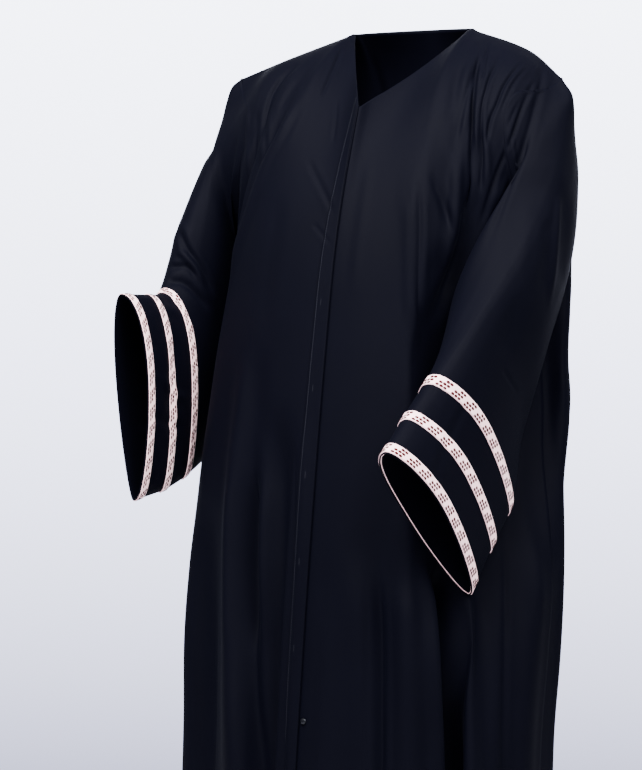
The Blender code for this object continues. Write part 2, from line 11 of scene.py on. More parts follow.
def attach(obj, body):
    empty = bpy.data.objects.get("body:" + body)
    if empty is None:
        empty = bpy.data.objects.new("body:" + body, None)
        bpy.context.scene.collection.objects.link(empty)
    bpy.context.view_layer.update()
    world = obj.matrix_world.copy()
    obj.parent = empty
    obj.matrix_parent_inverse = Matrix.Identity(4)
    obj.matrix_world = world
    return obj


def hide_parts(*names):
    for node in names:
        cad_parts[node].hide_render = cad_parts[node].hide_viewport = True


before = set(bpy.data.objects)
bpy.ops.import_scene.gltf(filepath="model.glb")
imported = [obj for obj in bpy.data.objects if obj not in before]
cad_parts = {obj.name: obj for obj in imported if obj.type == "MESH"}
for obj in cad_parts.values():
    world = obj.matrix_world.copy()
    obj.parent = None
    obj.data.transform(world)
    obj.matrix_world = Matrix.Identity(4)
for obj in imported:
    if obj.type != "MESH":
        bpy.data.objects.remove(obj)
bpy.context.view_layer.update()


# ---- Camera ----
# It stands level with the chest, 27 degrees round towards the wearer's left, and is tipped by
# one and a half degrees. ORIGIN_AT is where the neck's middle falls in the picture, in pixels.
VIEW_TURN = math.radians(27.0)
VIEW_ROLL = math.radians(1.5)
VIEW_DISTANCE = 3.0
VIEW_FOCAL = 2460.0
PICTURE = (642, 770)
ORIGIN_AT = (412, 32)
SENSOR = 36.0

level = Vector((math.cos(VIEW_TURN), math.sin(VIEW_TURN), 0.0))
towards_eye = Vector((math.sin(VIEW_TURN), -math.cos(VIEW_TURN), 0.0))
upright = Vector((0.0, 0.0, 1.0))
view_right = math.cos(VIEW_ROLL) * level + math.sin(VIEW_ROLL) * upright
view_up = -math.sin(VIEW_ROLL) * level + math.cos(VIEW_ROLL) * upright
per_pixel = VIEW_DISTANCE / VIEW_FOCAL
eye = (towards_eye * VIEW_DISTANCE - view_right * (ORIGIN_AT[0] - PICTURE[0] / 2) * per_pixel
       - view_up * (PICTURE[1] / 2 - ORIGIN_AT[1]) * per_pixel)

camera_data = bpy.data.cameras.new("camera")
camera_data.sensor_fit = "VERTICAL"
camera_data.sensor_height = SENSOR
camera_data.lens = VIEW_FOCAL / PICTURE[1] * SENSOR


def put(name, data):
    """Place a new object in the scene."""
    placed = bpy.data.objects.new(name, data)
    bpy.context.scene.collection.objects.link(placed)
    return placed


camera = put("camera", camera_data)
turn = Matrix((view_right, view_up, towards_eye)).transposed().to_4x4()
camera.matrix_world = Matrix.Translation(eye) @ turn
bpy.context.scene.camera = camera


def in_picture(points):
    """Where points fall in the picture, in pixels from its top left corner."""
    rays = points - np.array(eye)
    depth = -rays @ np.array(towards_eye)
    across = PICTURE[0] / 2 + VIEW_FOCAL * (rays @ np.array(view_right)) / depth
    down = PICTURE[1] / 2 - VIEW_FOCAL * (rays @ np.array(view_up)) / depth
    return np.stack((across, down), axis=-1)


# ---- Worn form ----
# The two fronts, the back and the two sleeves are cut from one black crepe and hang from the
# shoulders. This is their form as worn: falling columns over a few sections of the body, larger
# folds, sleeves on lines from the armhole to the cuff, and the cloth that a sleeve pushes aside.
CHEST_Z = -0.34
HEM_Z = -1.42
NECK_HALF = 0.078
V_DEPTH = 0.107
V_FORWARD = 0.143
LAP_TURN = 0.09
LAP_SINK = 0.0026
LAP_SINK_TO = 0.14
LAP_LOWERED = 0.08
BAND_TURN = 0.055
Shoulder = namedtuple("Shoulder", "along x y z")
LEFT_SHOULDER = (
    Shoulder(0.00, 0.078, 0.000, 0.000),
    Shoulder(0.60, 0.158, -0.008, -0.030),
    Shoulder(1.00, 0.203, -0.014, -0.066),
)
RIGHT_SHOULDER = (
    Shoulder(0.00, -0.078, 0.000, 0.000),
    Shoulder(0.55, -0.150, -0.026, -0.030),
    Shoulder(1.00, -0.214, -0.040, -0.056),
)
# How far each armhole is cut in at its deepest, as a share of its panel's width.
ARMHOLE_CUT = {("front", 1): 0.27, ("back", 1): 0.20, ("front", -1): 0.24, ("back", -1): 0.20}
ARMHOLE_ROUND = 1.2

# Horizontal sections of the body below the arms.
Section = namedtuple("Section", "z middle front back right left side")
BODY = (
    Section(-0.340, -0.002, -0.199, 0.086, -0.213, 0.200, -0.010),
    Section(-0.430, -0.003, -0.209, 0.087, -0.226, 0.212, -0.015),
    Section(-0.520, -0.005, -0.216, 0.086, -0.230, 0.218, -0.030),
    Section(-0.700, -0.009, -0.226, 0.084, -0.224, 0.218, -0.045),
    Section(-0.900, -0.013, -0.234, 0.084, -0.217, 0.213, -0.055),
    Section(-1.420, -0.020, -0.256, 0.110, -0.231, 0.238, -0.060),
)
FRONT_FULLNESS = 0.80
BACK_FULLNESS = 0.85

# A fold runs from its top to its end. down is 0 at a panel's top edge, 1 at the chest and 2 at the
# hem. across is 0 at the middle and 1 at the side seam, width is in the same measure, and depth is
# outwards, in metres.
Fold = namedtuple("Fold", "panel top_across top_down end_across end_down width depth")
FOLDS = (
    Fold("front_left", 0.36, 0.00, 0.66, 1.02, 0.040, -0.008),
    Fold("front_left", 0.44, 0.00, 0.72, 0.95, 0.035, 0.007),
    Fold("front_left", 0.50, 0.00, 0.76, 1.10, 0.035, -0.011),
    Fold("front_left", 0.56, 0.05, 0.82, 0.90, 0.035, 0.006),
    Fold("front_left", 0.30, 0.45, 0.40, 1.60, 0.070, 0.006),
    Fold("front_left", 0.44, 0.50, 0.50, 1.45, 0.045, -0.008),
    Fold("front_left", 0.70, 1.02, 0.50, 2.10, 0.110, -0.034),
    Fold("front_left", 0.22, 1.15, 0.24, 2.10, 0.070, -0.007),
    Fold("front_left", 0.10, 1.20, 0.12, 2.10, 0.060, 0.006),
    Fold("front_left", 0.66, 1.30, 0.66, 2.10, 0.060, 0.014),
    Fold("front_left", 0.82, 1.15, 0.82, 2.10, 0.060, -0.010),
    Fold("front_right", 0.40, 0.05, 0.62, 1.00, 0.060, -0.006),
    Fold("front_right", 0.52, 0.30, 0.68, 1.60, 0.090, 0.009),
    Fold("front_right", 0.62, 0.05, 0.78, 1.05, 0.050, -0.010),
    Fold("front_right", 0.30, 0.10, 0.50, 0.80, 0.050, 0.004),
    Fold("front_right", 0.50, 1.20, 0.46, 2.10, 0.070, -0.012),
    Fold("front_right", 0.66, 1.15, 0.62, 2.10, 0.070, 0.012),
    Fold("front_right", 0.82, 1.10, 0.80, 2.10, 0.060, -0.012),
    Fold("front_right", 0.26, 1.30, 0.26, 2.10, 0.070, 0.007),
    Fold("back_left", 0.12, 0.70, 0.16, 2.10, 0.070, 0.010),
    Fold("back_left", 0.32, 0.55, 0.36, 2.10, 0.065, -0.013),
    Fold("back_left", 0.52, 0.60, 0.55, 2.10, 0.070, 0.012),
    Fold("back_left", 0.72, 0.90, 0.74, 2.10, 0.055, -0.012),
    Fold("back_left", 0.90, 1.10, 0.90, 2.10, 0.050, 0.008),
    Fold("back_right", 0.10, 0.75, 0.12, 2.10, 0.060, -0.009),
    Fold("back_right", 0.28, 0.60, 0.32, 2.10, 0.070, 0.012),
    Fold("back_right", 0.48, 0.55, 0.52, 2.10, 0.060, -0.014),
    Fold("back_right", 0.68, 0.80, 0.70, 2.10, 0.060, 0.011),
    Fold("back_right", 0.86, 1.05, 0.86, 2.10, 0.050, -0.010),
)

# Where a panel's top edge changes from neckline to shoulder seam, how the neckline bows, how the
# nape lies and how far down the armhole goes.
FRONT_NECK_END = 0.36
BACK_NECK_END = 0.38
NECK_BOW = 0.006
NAPE_BACK = 0.055
NAPE_RISE = 0.010
UNDERARM = 0.82

# How the cloth leaves its top edge, as (aside, outwards, up), and how stiffly it turns to hang.
CHEST_WAY = (0.00, 0.32, -0.95)
NAPE_WAY = (0.00, 0.50, -0.86)
NECK_WAY = (0.08, 0.93, -0.34)
SHOULDER_WAY = (0.10, 0.95, -0.30)
TIP_WAY = (0.30, 0.00, -0.95)
TIP_FROM = 0.55
TIP_SPREAD = 0.6
TIP_SPREAD_FROM = 0.6
COLUMN_HOLD = 0.38
BELOW_CHEST = 0.02

# Grid counts.
LAP_COLUMNS = 2
NECK_COLUMNS = 8
SHOULDER_COLUMNS = 13
YOKE_ROWS = (0.0, 0.035, 0.09, 0.17, 0.26, 0.35, 0.45, 0.54, 0.64, 0.73, UNDERARM, 0.91)
SKIRT_ROWS = (1.0, 1.05, 1.10, 1.16, 1.22, 1.29, 1.37, 1.46, 1.56, 1.68, 1.84, 2.0)

# The creases drawn below stand in for most of the depth of the fronts' upper folds. Every fold
# comes and goes over a share of its run.
FOLDS_FROM = 0.4
FOLDS_LEFT = 0.35
FOLD_FADE = 0.25
FOLDS = tuple(
    fold._replace(depth=fold.depth * FOLDS_LEFT)
    if fold.panel.startswith("front") and fold.top_down < FOLDS_FROM else fold
    for fold in FOLDS
)
TINY = 1e-9


def unit(vector):
    return vector / max(np.linalg.norm(vector), TINY)


def units(vectors):
    """A grid of vectors, each brought to length 1."""
    return vectors / np.linalg.norm(vectors, axis=-1, keepdims=True)


def ease(share):
    """A share, or a grid of shares, held between 0 and 1 with a smooth start and end."""
    share = np.clip(share, 0.0, 1.0)
    return share * share * (3.0 - 2.0 * share)


def curve_through(keys, values, at):
    """Read a smooth curve through values placed at keys; it runs straight on past the ends."""
    keys = list(keys)
    values = [np.asarray(value, dtype=float) for value in values]
    slopes = []
    for i in range(len(keys)):
        before, after = max(i - 1, 0), min(i + 1, len(keys) - 1)
        slopes.append((values[after] - values[before]) / (keys[after] - keys[before]))
    if at <= keys[0]:
        return values[0] + slopes[0] * (at - keys[0])
    if at >= keys[-1]:
        return values[-1] + slopes[-1] * (at - keys[-1])
    i = next(k for k in range(len(keys) - 1) if at <= keys[k + 1])
    span = keys[i + 1] - keys[i]
    t = (at - keys[i]) / span
    start = (1 + 2 * t) * (1 - t) ** 2 * values[i] + t * (1 - t) ** 2 * span * slopes[i]
    end = t * t * (3 - 2 * t) * values[i + 1] + t * t * (t - 1) * span * slopes[i + 1]
    return start + end


def bend(points, t):
    """Read a cubic curve from its four guide points."""
    a, b, c, d = (np.asarray(point, dtype=float) for point in points)
    return (1 - t) ** 3 * a + 3 * t * (1 - t) ** 2 * b + 3 * t * t * (1 - t) * c + t ** 3 * d


def shoulder_point(rows, along):
    return curve_through([row.along for row in rows], [row[1:] for row in rows], along)


def body_point(side, turn, z):
    """A point of the body's section at height z; turn is 0 in front, 1 at the side, 2 behind."""
    heights = [-row.z for row in BODY]
    row = Section(z, *curve_through(heights, [row[1:] for row in BODY], -z))
    angle = turn * math.pi / 2
    reach = (row.left if side > 0 else row.right) - row.middle
    x = row.middle + reach * math.sin(angle)
    depth = abs(math.cos(angle))
    if turn <= 1:
        y = row.side + (row.front - row.side) * depth ** FRONT_FULLNESS
    else:
        y = row.side + (row.back - row.side) * depth ** BACK_FULLNESS
    return np.array((x, y, z))


def way_of(side, outwards, way):
    """A direction given as (aside, outwards, up) for one side of the body, in front or behind."""
    return np.array((side * way[0], outwards * way[1], way[2]))


def shoulder_top(side, outwards, along):
    """A point of the shoulder seam and the direction in which the cloth leaves it."""
    neck_way = way_of(side, outwards, NECK_WAY)
    way = neck_way + (way_of(side, outwards, SHOULDER_WAY) - neck_way) * along
    way += (way_of(side, outwards, TIP_WAY) - way) * ease((along - TIP_FROM) / (1 - TIP_FROM))
    rows = LEFT_SHOULDER if side > 0 else RIGHT_SHOULDER
    return shoulder_point(rows, along), unit(way)


def front_top(side, across):
    """The front's top edge and the direction in which the cloth leaves it."""
    if across > FRONT_NECK_END:
        return shoulder_top(side, -1, (across - FRONT_NECK_END) / (1 - FRONT_NECK_END))
    along = across / FRONT_NECK_END
    tip = np.array((0.0, -V_FORWARD, -V_DEPTH))
    neck = np.array((side * NECK_HALF, 0.0, 0.0))
    bow = np.array((0.0, 0.0, -NECK_BOW * math.sin(math.pi * along)))
    chest_way = way_of(side, -1, CHEST_WAY)
    way = chest_way + (way_of(side, -1, NECK_WAY) - chest_way) * along
    return tip + (neck - tip) * along + bow, unit(way)


def back_top(side, across):
    """The back's top edge and the direction in which the cloth leaves it."""
    if across > BACK_NECK_END:
        return shoulder_top(side, 1, (across - BACK_NECK_END) / (1 - BACK_NECK_END))
    along = across / BACK_NECK_END
    angle = along * math.pi / 2
    rise = math.cos(angle)
    point = np.array((side * NECK_HALF * math.sin(angle), NAPE_BACK * rise, NAPE_RISE * rise))
    nape_way = way_of(side, 1, NAPE_WAY)
    return point, unit(nape_way + (way_of(side, 1, NECK_WAY) - nape_way) * along)


def falling_column(top, way, side, turn, down):
    """A point of one falling column, down from 0 at its top edge through 1 at the chest to 2."""
    if down >= 1:
        return body_point(side, turn, CHEST_Z + (HEM_Z - CHEST_Z) * (down - 1))
    foot = body_point(side, turn, CHEST_Z)
    below = body_point(side, turn, CHEST_Z - BELOW_CHEST)
    reach = np.linalg.norm(foot - top)
    hold = reach * COLUMN_HOLD
    return bend((top, top + way * hold, foot + unit(foot - below) * hold, foot), down)


def panel_point(panel, side, across, down):
    """A point of a front or of half the back, before its folds. Beside the armhole the columns
    crowd towards the middle, which leaves the armhole's curve as the panel's edge."""
    if down < UNDERARM:
        cut = ARMHOLE_CUT[panel, side] * math.sin(math.pi * down / UNDERARM) ** ARMHOLE_ROUND
        across -= cut * max(across, 0.0) ** 3
    top, way = (front_top if panel == "front" else back_top)(side, across)
    at_tip = ease((across - TIP_SPREAD_FROM) / (1 - TIP_SPREAD_FROM)) * (1 - ease(down / UNDERARM))
    outwards = -1 if panel == "front" else 1
    way = unit(way + np.array((0.0, outwards * TIP_SPREAD * at_tip, 0.0)))
    turn = across if panel == "front" else 2 - across
    return falling_column(top, way, side, turn, down)


def fold_depth(panel, across, down):
    """How far the folds push a panel out at a place."""
    depth = 0.0
    for fold in FOLDS:
        if fold.panel != panel:
            continue
        run = (down - fold.top_down) / (fold.end_down - fold.top_down)
        if not 0 <= run <= 1:
            continue
        middle = fold.top_across + (fold.end_across - fold.top_across) * run
        bell = math.exp(-(((across - middle) / fold.width) ** 2))
        depth += fold.depth * bell * ease(run / FOLD_FADE) * ease((1 - run) / FOLD_FADE)
    return depth


def grid_normals(points, closed=False):
    """Normals of a grid, to the right of its columns' order as seen along their fall. The columns
    of a closed grid run on round it."""
    if closed:
        along = np.roll(points, -1, axis=0) - np.roll(points, 1, axis=0)
    else:
        along = np.gradient(points, axis=0)
    normals = np.cross(along, np.gradient(points, axis=1))
    return normals / np.maximum(np.linalg.norm(normals, axis=2, keepdims=True), TINY)


def steps(start, end, count):
    return [start + (end - start) * k / count for k in range(count)]


def half_columns(neck_end):
    """Columns from a panel's middle, along its neckline and on along its shoulder to the side."""
    return steps(0.0, neck_end, NECK_COLUMNS) + steps(neck_end, 1.0, SHOULDER_COLUMNS) + [1.0]


def front_columns(lap):
    columns = half_columns(FRONT_NECK_END)
    if lap:
        return steps(-LAP_TURN, 0.0, LAP_COLUMNS) + columns
    return [0.0, BAND_TURN] + columns[2:]


def back_columns():
    half = half_columns(BACK_NECK_END)
    return [-across for across in reversed(half[1:])] + half


def panel_rows():
    return list(YOKE_ROWS) + list(SKIRT_ROWS)


# ---- Worn form of the sleeves ----
# Each wide sleeve is one piece of the crepe, closed by a seam under the arm. It follows the arm's
# line from the armhole to the cuff and hangs from it in two layers.
RIBBON_EDGE = 0.0015
RIBBON_WIDTH = 0.0140
RIBBON_PITCH = 0.0525
RIBBON_COUNT = 3
# Sections along a sleeve. over is the arm's line and under the hanging seam. The front layer
# stands out by front in the direction facing, degrees from straight ahead towards the body's
# middle, and the back layer by back the other way.
Sleeve = namedtuple("Sleeve", "over under facing front back")
LEFT_SLEEVE = (
    Sleeve((0.212, -0.035, -0.125), (0.190, -0.002, -0.350), 25, 0.068, 0.036),
    Sleeve((0.210, -0.080, -0.205), (0.176, -0.015, -0.397), 45, 0.080, 0.037),
    Sleeve((0.197, -0.130, -0.280), (0.176, -0.035, -0.447), 68, 0.078, 0.031),
    Sleeve((0.176, -0.177, -0.346), (0.176, -0.059, -0.506), 88, 0.062, 0.022),
    Sleeve((0.156, -0.222, -0.405), (0.180, -0.083, -0.565), 102, 0.046, 0.025),
    Sleeve((0.137, -0.261, -0.458), (0.170, -0.120, -0.619), 98, 0.036, 0.026),
    Sleeve((0.129, -0.305, -0.500), (0.154, -0.137, -0.669), 99, 0.030, 0.029),
)
RIGHT_SLEEVE = (
    Sleeve((-0.236, -0.055, -0.130), (-0.222, 0.020, -0.335), 20, 0.058, 0.036),
    Sleeve((-0.247, -0.090, -0.205), (-0.234, 0.046, -0.380), 42, 0.054, 0.034),
    Sleeve((-0.252, -0.120, -0.262), (-0.242, 0.048, -0.438), 64, 0.048, 0.032),
    Sleeve((-0.255, -0.142, -0.317), (-0.244, 0.006, -0.491), 80, 0.041, 0.028),
    Sleeve((-0.246, -0.176, -0.331), (-0.238, -0.072, -0.530), 88, 0.030, 0.024),
    Sleeve((-0.240, -0.219, -0.332), (-0.236, -0.150, -0.560), 91, 0.026, 0.017),
    Sleeve((-0.243, -0.264, -0.334), (-0.240, -0.228, -0.575), 86, 0.032, 0.015),
)
# How narrow a section is towards its under line, where it has its full width, and the sleeve's
# rows above the ribbons, as shares of the length down to them.
ARM_HOLD = 0.45
ARM_FULL_AT = 0.35
SLEEVE_SHARES = (0.0, 0.05, 0.12, 0.22, 0.35, 0.5, 0.65, 0.8, 0.92)
LINE_SAMPLES = 90

# How the body's cloth is held off by a sleeve: the direction in which it gives way, its clearance,
# how round and how soft the dent is, the sleeve's first row that presses and where it begins.
PRESS_ASIDE = 0.90
PRESS_BACK = 0.43
PRESS_CLEAR = 0.006
PRESS_ROUND = 0.11
PRESS_SOFT = 0.012
PRESS_FROM = 2
PRESS_TOP = 0.15
PRESS_GROWS = 0.45
PRESS_SIDE = 0.02

# How far a sleeve's cloth is lifted off the panel beside its armhole, and where this is looked for.
LIFT = 0.0025
LIFT_ROWS = 5
LIFT_REACH = 0.030
LIFT_ASIDE = 0.006
LIFT_SAMPLES = 3
LIFT_PASSES = 2

# How far a sleeve's cloth runs on from the armhole's edge, how much it stands out there, and how
# much it falls instead at the shoulder.
LEAVE_ASIDE = 0.014
LEAVE_OUT = 0.9
LEAVE_DOWN = 0.5
LEAVE_KEY = 0.25
LEAVE_STEPS = 5


def sleeve_ring(row, side, around):
    """A point round a sleeve's section; around runs 0 over, 0.5 under by the front, back to 1."""
    over, under = np.array(row.over), np.array(row.under)
    facing = math.radians(row.facing)
    outward = np.array((-side * math.sin(facing), -math.cos(facing), 0.0))
    half = 2 * around if around <= 0.5 else 2 - 2 * around
    fall = (1 - math.cos(math.pi * half)) / 2
    spread = math.sin(math.pi * half) * (1 - ARM_HOLD * fall) / (1 - ARM_HOLD * ARM_FULL_AT)
    width = row.front if around <= 0.5 else -row.back
    return over + (under - over) * fall + outward * spread * width


def ribbon_edges():
    """Both edges of each ribbon, as distances from the cuff."""
    starts = [RIBBON_EDGE + k * RIBBON_PITCH for k in range(RIBBON_COUNT)]
    return [(start, start + RIBBON_WIDTH) for start in starts]


def running(lengths):
    """Running total of a row of lengths, from 0."""
    return np.concatenate(([0.0], np.cumsum(lengths)))


def read_at(samples, lengths, distance):
    return np.array([np.interp(distance, lengths, samples[:, axis]) for axis in range(3)])


def armhole_edge(side):
    """The armhole as it is cut, from the shoulder tip down the front and up the back."""
    shares = [down / UNDERARM for down in YOKE_ROWS if down <= UNDERARM]
    front = [panel_point("front", side, 1.0, share * UNDERARM) for share in shares]
    back = [panel_point("back", side, 1.0, share * UNDERARM) for share in shares[1:-1]]
    return front + back[::-1]


def sleeve_rounds():
    """Where a sleeve's columns run round it, one for each point of the armhole."""
    halves = [down / UNDERARM / 2 for down in YOKE_ROWS if down <= UNDERARM]
    return halves + [1 - half for half in reversed(halves[1:-1])]


def sleeve_grid(side, edge, leaves):
    """Points of a sleeve's cloth: the rows run from the armhole's edge, which the cloth leaves
    towards the guides in leaves, to the cuff, and near the cuff they lie at the ribbons' edges,
    the same distance from the cuff all round."""
    rows = LEFT_SLEEVE if side > 0 else RIGHT_SLEEVE
    near_cuff = [distance for edges in ribbon_edges() for distance in edges]
    grid = []
    keys = [0.0, LEAVE_KEY] + list(range(1, len(rows) + 1))
    for start, guide, around in zip(edge, leaves, sleeve_rounds()):
        line = [start, guide] + [sleeve_ring(row, side, around) for row in rows]
        samples = np.array([curve_through(keys, line, keys[-1] * (1 - k / LINE_SAMPLES))
                            for k in range(LINE_SAMPLES + 1)])
        lengths = running(np.linalg.norm(np.diff(samples, axis=0), axis=1))
        plain = lengths[-1] - near_cuff[-1]
        distances = [lengths[-1] - plain * share for share in SLEEVE_SHARES]
        distances += list(reversed(near_cuff)) + [0.0]
        grid.append([read_at(samples, lengths, distance) for distance in distances])
    return np.array(grid)


def hold_off(points, columns, sleeve, side):
    """Drape the body's cloth round a sleeve: each of its points holds the cloth off, more gently
    the further aside it lies."""
    inward = unit(np.array((-side * PRESS_ASIDE, PRESS_BACK, 0.0)))
    obstacle = sleeve[:, PRESS_FROM:].reshape(-1, 3)
    reach = obstacle @ inward
    flat = obstacle - reach[:, None] * inward
    for j, down in enumerate(panel_rows()):
        for i, across in enumerate(columns):
            share = ease((down - PRESS_TOP) / PRESS_GROWS)
            place = points[i, j]
            if share == 0 or side * place[0] < PRESS_SIDE:
                continue
            along = place @ inward
            aside = flat - (place - along * inward)
            limit = (reach + PRESS_CLEAR - (aside ** 2).sum(axis=1) / (2 * PRESS_ROUND)).max()
            gap = along - limit
            kept = limit + (gap + math.sqrt(gap * gap + PRESS_SOFT ** 2)) / 2
            points[i, j] = place + inward * max(kept - along, 0.0) * share


def front_grid(side, sleeve):
    name = "front_left" if side > 0 else "front_right"
    columns = front_columns(lap=side > 0)
    rows = panel_rows()
    points = np.zeros((len(columns), len(rows), 3))
    depths = np.zeros((len(columns), len(rows)))
    for i, across in enumerate(columns):
        for j, down in enumerate(rows):
            if across < 0:
                lowered = down + LAP_LOWERED * across / LAP_TURN * min(down - 1, 0.0)
                points[i, j] = panel_point("front", -side, -across, lowered)
            else:
                points[i, j] = panel_point("front", side, across, down)
            depths[i, j] = fold_depth(name, across, down)
            if side > 0:
                depths[i, j] -= LAP_SINK * (1 - ease(across / LAP_SINK_TO))
    points -= side * grid_normals(points) * depths[:, :, None]
    hold_off(points, columns, sleeve, side)
    return points


def back_grid(sleeves):
    columns = back_columns()
    rows = panel_rows()
    points = np.zeros((len(columns), len(rows), 3))
    depths = np.zeros((len(columns), len(rows)))
    for i, across in enumerate(columns):
        side = 1 if across >= 0 else -1
        for j, down in enumerate(rows):
            points[i, j] = panel_point("back", side, abs(across), down)
            panel = "back_left" if side > 0 else "back_right"
            depths[i, j] = fold_depth(panel, abs(across), down)
    points += grid_normals(points) * depths[:, :, None]
    for side, sleeve in sleeves.items():
        hold_off(points, columns, sleeve, side)
    return points


def lay_over(sleeve, chosen, panel, normals):
    """Lift the chosen columns of a sleeve off the panel that they lie on, next to the armhole."""
    spots, facing = [], []
    shares = [k / LIFT_SAMPLES for k in range(LIFT_SAMPLES)]
    for i in range(len(panel) - 1):
        for t in shares:
            line = panel[i] * (1 - t) + panel[i + 1] * t
            out = normals[i] * (1 - t) + normals[i + 1] * t
            for u in shares:
                spots.append(line[:-1] * (1 - u) + line[1:] * u)
                facing.append(out[:-1] * (1 - u) + out[1:] * u)
    spots = np.concatenate(spots)
    facing = np.concatenate(facing)
    for i in chosen:
        for j in range(1, LIFT_ROWS + 1):
            for _ in range(LIFT_PASSES):
                place = sleeve[i, j]
                nearest = np.argmin(((spots - place) ** 2).sum(axis=1))
                out = unit(facing[nearest])
                height = (place - spots[nearest]) @ out
                aside = np.linalg.norm(place - spots[nearest] - height * out)
                if abs(height) < LIFT_REACH and aside < LIFT_ASIDE:
                    sleeve[i, j] = place + out * max(LIFT - height, 0.0)


# The cap runs on from the panels without a ridge, down to this row of the armhole.
EASED_ROWS = 8
EASED_FULLY = 4
EASED_FROM = 3
EASED_COLUMNS = 4
EASED_ORDER = (3, 2, 4, 3, 5, 1) * 5
EASED_FRONT = 0.6
EASED_BACK = 0.1


def ease_seam(panel, inwards, sleeve, chosen, most):
    """Even out the form across the upper armhole. inwards are the panel's columns from its edge,
    chosen are the sleeve's columns that are sewn to the panel's rows, and most is up to 1."""
    outwards = list(reversed(inwards))
    for j in range(1, EASED_ROWS):
        fade = ease((j - EASED_FULLY) / (EASED_ROWS - EASED_FULLY))
        share = most * min(j / EASED_FROM, 1.0) * (1 - fade)
        k = chosen[j]
        line = np.concatenate((panel[outwards, j], sleeve[k, 1:EASED_COLUMNS]))
        for n in EASED_ORDER:
            before, after = line[n] - line[n - 1], line[n + 1] - line[n]
            t = np.linalg.norm(before) / (np.linalg.norm(before) + np.linalg.norm(after))
            line[n] += ((1 - t) * line[n - 1] + t * line[n + 1] - line[n]) * share
        panel[outwards, j] = line[:EASED_COLUMNS]
        sleeve[k, :EASED_COLUMNS] = line[EASED_COLUMNS - 1:]


sleeves = {}
for side in (1, -1):
    cut_edge = np.array(armhole_edge(side))
    sleeves[side] = sleeve_grid(side, cut_edge, cut_edge + LEAVE_ASIDE * np.array((side, 0.0, 0.0)))
fronts = {side: front_grid(side, sleeves[side]) for side in (1, -1)}
back = back_grid(sleeves)

# Each sleeve is sewn to the edge as it now hangs and lies over the panels beside it.
under = YOKE_ROWS.index(UNDERARM)
for side, front in fronts.items():
    outer = -1 if side > 0 else 0
    out_of_front = -side * grid_normals(front)
    out_of_back = grid_normals(back)
    edge = np.concatenate((front[-1, :under + 1], back[outer, under - 1:0:-1]))
    inside = np.concatenate((front[-2, :under + 1], back[outer - side, under - 1:0:-1]))
    out = np.concatenate((out_of_front[-1, :under + 1], out_of_back[outer, under - 1:0:-1]))
    onward = units(edge - inside)
    from_tip = np.array([min(k, len(edge) - k) for k in range(len(edge))])
    away = np.minimum(from_tip / LEAVE_STEPS, 1.0)[:, None]
    fall = (1 - away) * np.array((0.0, 0.0, -LEAVE_DOWN))
    sleeve = sleeve_grid(side, edge, edge + LEAVE_ASIDE * (onward + LEAVE_OUT * away * out + fall))
    by_front = list(range(under + 1))
    by_back = [0] + list(range(len(sleeve) - 1, under - 1, -1))
    lay_over(sleeve, by_front, front, out_of_front)
    lay_over(sleeve, by_back[1:], back, out_of_back)
    from_end = (-1, -2, -3, -4)
    ease_seam(front, from_end, sleeve, by_front, EASED_FRONT)
    ease_seam(back, from_end if side > 0 else (0, 1, 2, 3), sleeve, by_back, EASED_BACK)
    sleeves[side] = sleeve


# ---- Cloth drawn fine ----
# The crepe is thin and soft, so each piece is drawn with smooth curves through its form's points.
# Creases are laid in as soft troughs and ridges, where the picture shows them and on the
# hidden sides, and the wall goes on last.
WALL = 0.0012
RUN_ON = 3


def read_curves(grid, keys, at):
    """Read a grid along its first axis on smooth curves through its points, placed at keys."""
    slopes = np.gradient(grid, axis=0) / np.gradient(keys)[:, None, None]
    k = np.clip(np.searchsorted(keys, at, side="right") - 1, 0, len(keys) - 2)
    span = (keys[k + 1] - keys[k])[:, None, None]
    t = ((at - keys[k]) / (keys[k + 1] - keys[k]))[:, None, None]
    start = (1 + 2 * t) * (1 - t) ** 2 * grid[k] + t * (1 - t) ** 2 * span * slopes[k]
    return start + t * t * (3 - 2 * t) * grid[k + 1] + t * t * (t - 1) * span * slopes[k + 1]


def cut_steps(grid, spacing):
    """Keys along a grid's first axis, by length, and places that cut its steps into small ones.
    spacing is one length, or one for each step."""
    spacing = np.broadcast_to(spacing, len(grid) - 1)
    lengths = np.linalg.norm(np.diff(grid, axis=0), axis=2)
    keys = running(lengths.mean(axis=1))
    at = [0.0]
    for k, longest in enumerate(lengths.max(axis=1)):
        count = max(1, math.ceil(longest / spacing[k]))
        at += [keys[k] + (keys[k + 1] - keys[k]) * (n + 1) / count for n in range(count)]
    return keys, np.array(at)


# A piece of cloth as a fine grid: its points, and the across and down of every column and row.
Cloth = namedtuple("Cloth", "points across down")


def fine_cloth(grid, columns, rows, across_spacing, down_spacing, closed=False):
    """Draw a coarse grid finer. Closed columns run on past both ends while they are read."""
    if closed:
        run_on = np.concatenate((grid[-RUN_ON:], grid, grid[:RUN_ON + 1]))
        keys = cut_steps(run_on, across_spacing)[0]
        inner_keys, at = cut_steps(run_on[RUN_ON:-RUN_ON], across_spacing)
        at = at[:-1]
        points = read_curves(run_on, keys - keys[RUN_ON], at)
        across = np.interp(at, inner_keys, columns + [1.0])
    else:
        keys, at = cut_steps(grid, across_spacing)
        points = read_curves(grid, keys, at)
        across = np.interp(at, keys, columns)
    flipped = points.transpose(1, 0, 2)
    keys, at = cut_steps(flipped, down_spacing)
    points = read_curves(flipped, keys, at).transpose(1, 0, 2)
    return Cloth(points, across, np.interp(at, keys, rows))


def spans(points):
    """Running lengths across and down a grid, in metres, each a mean over the other direction."""
    wide = np.linalg.norm(np.diff(points, axis=0), axis=2).mean(axis=1)
    long = np.linalg.norm(np.diff(points, axis=1), axis=2).mean(axis=0)
    return running(wide), running(long)


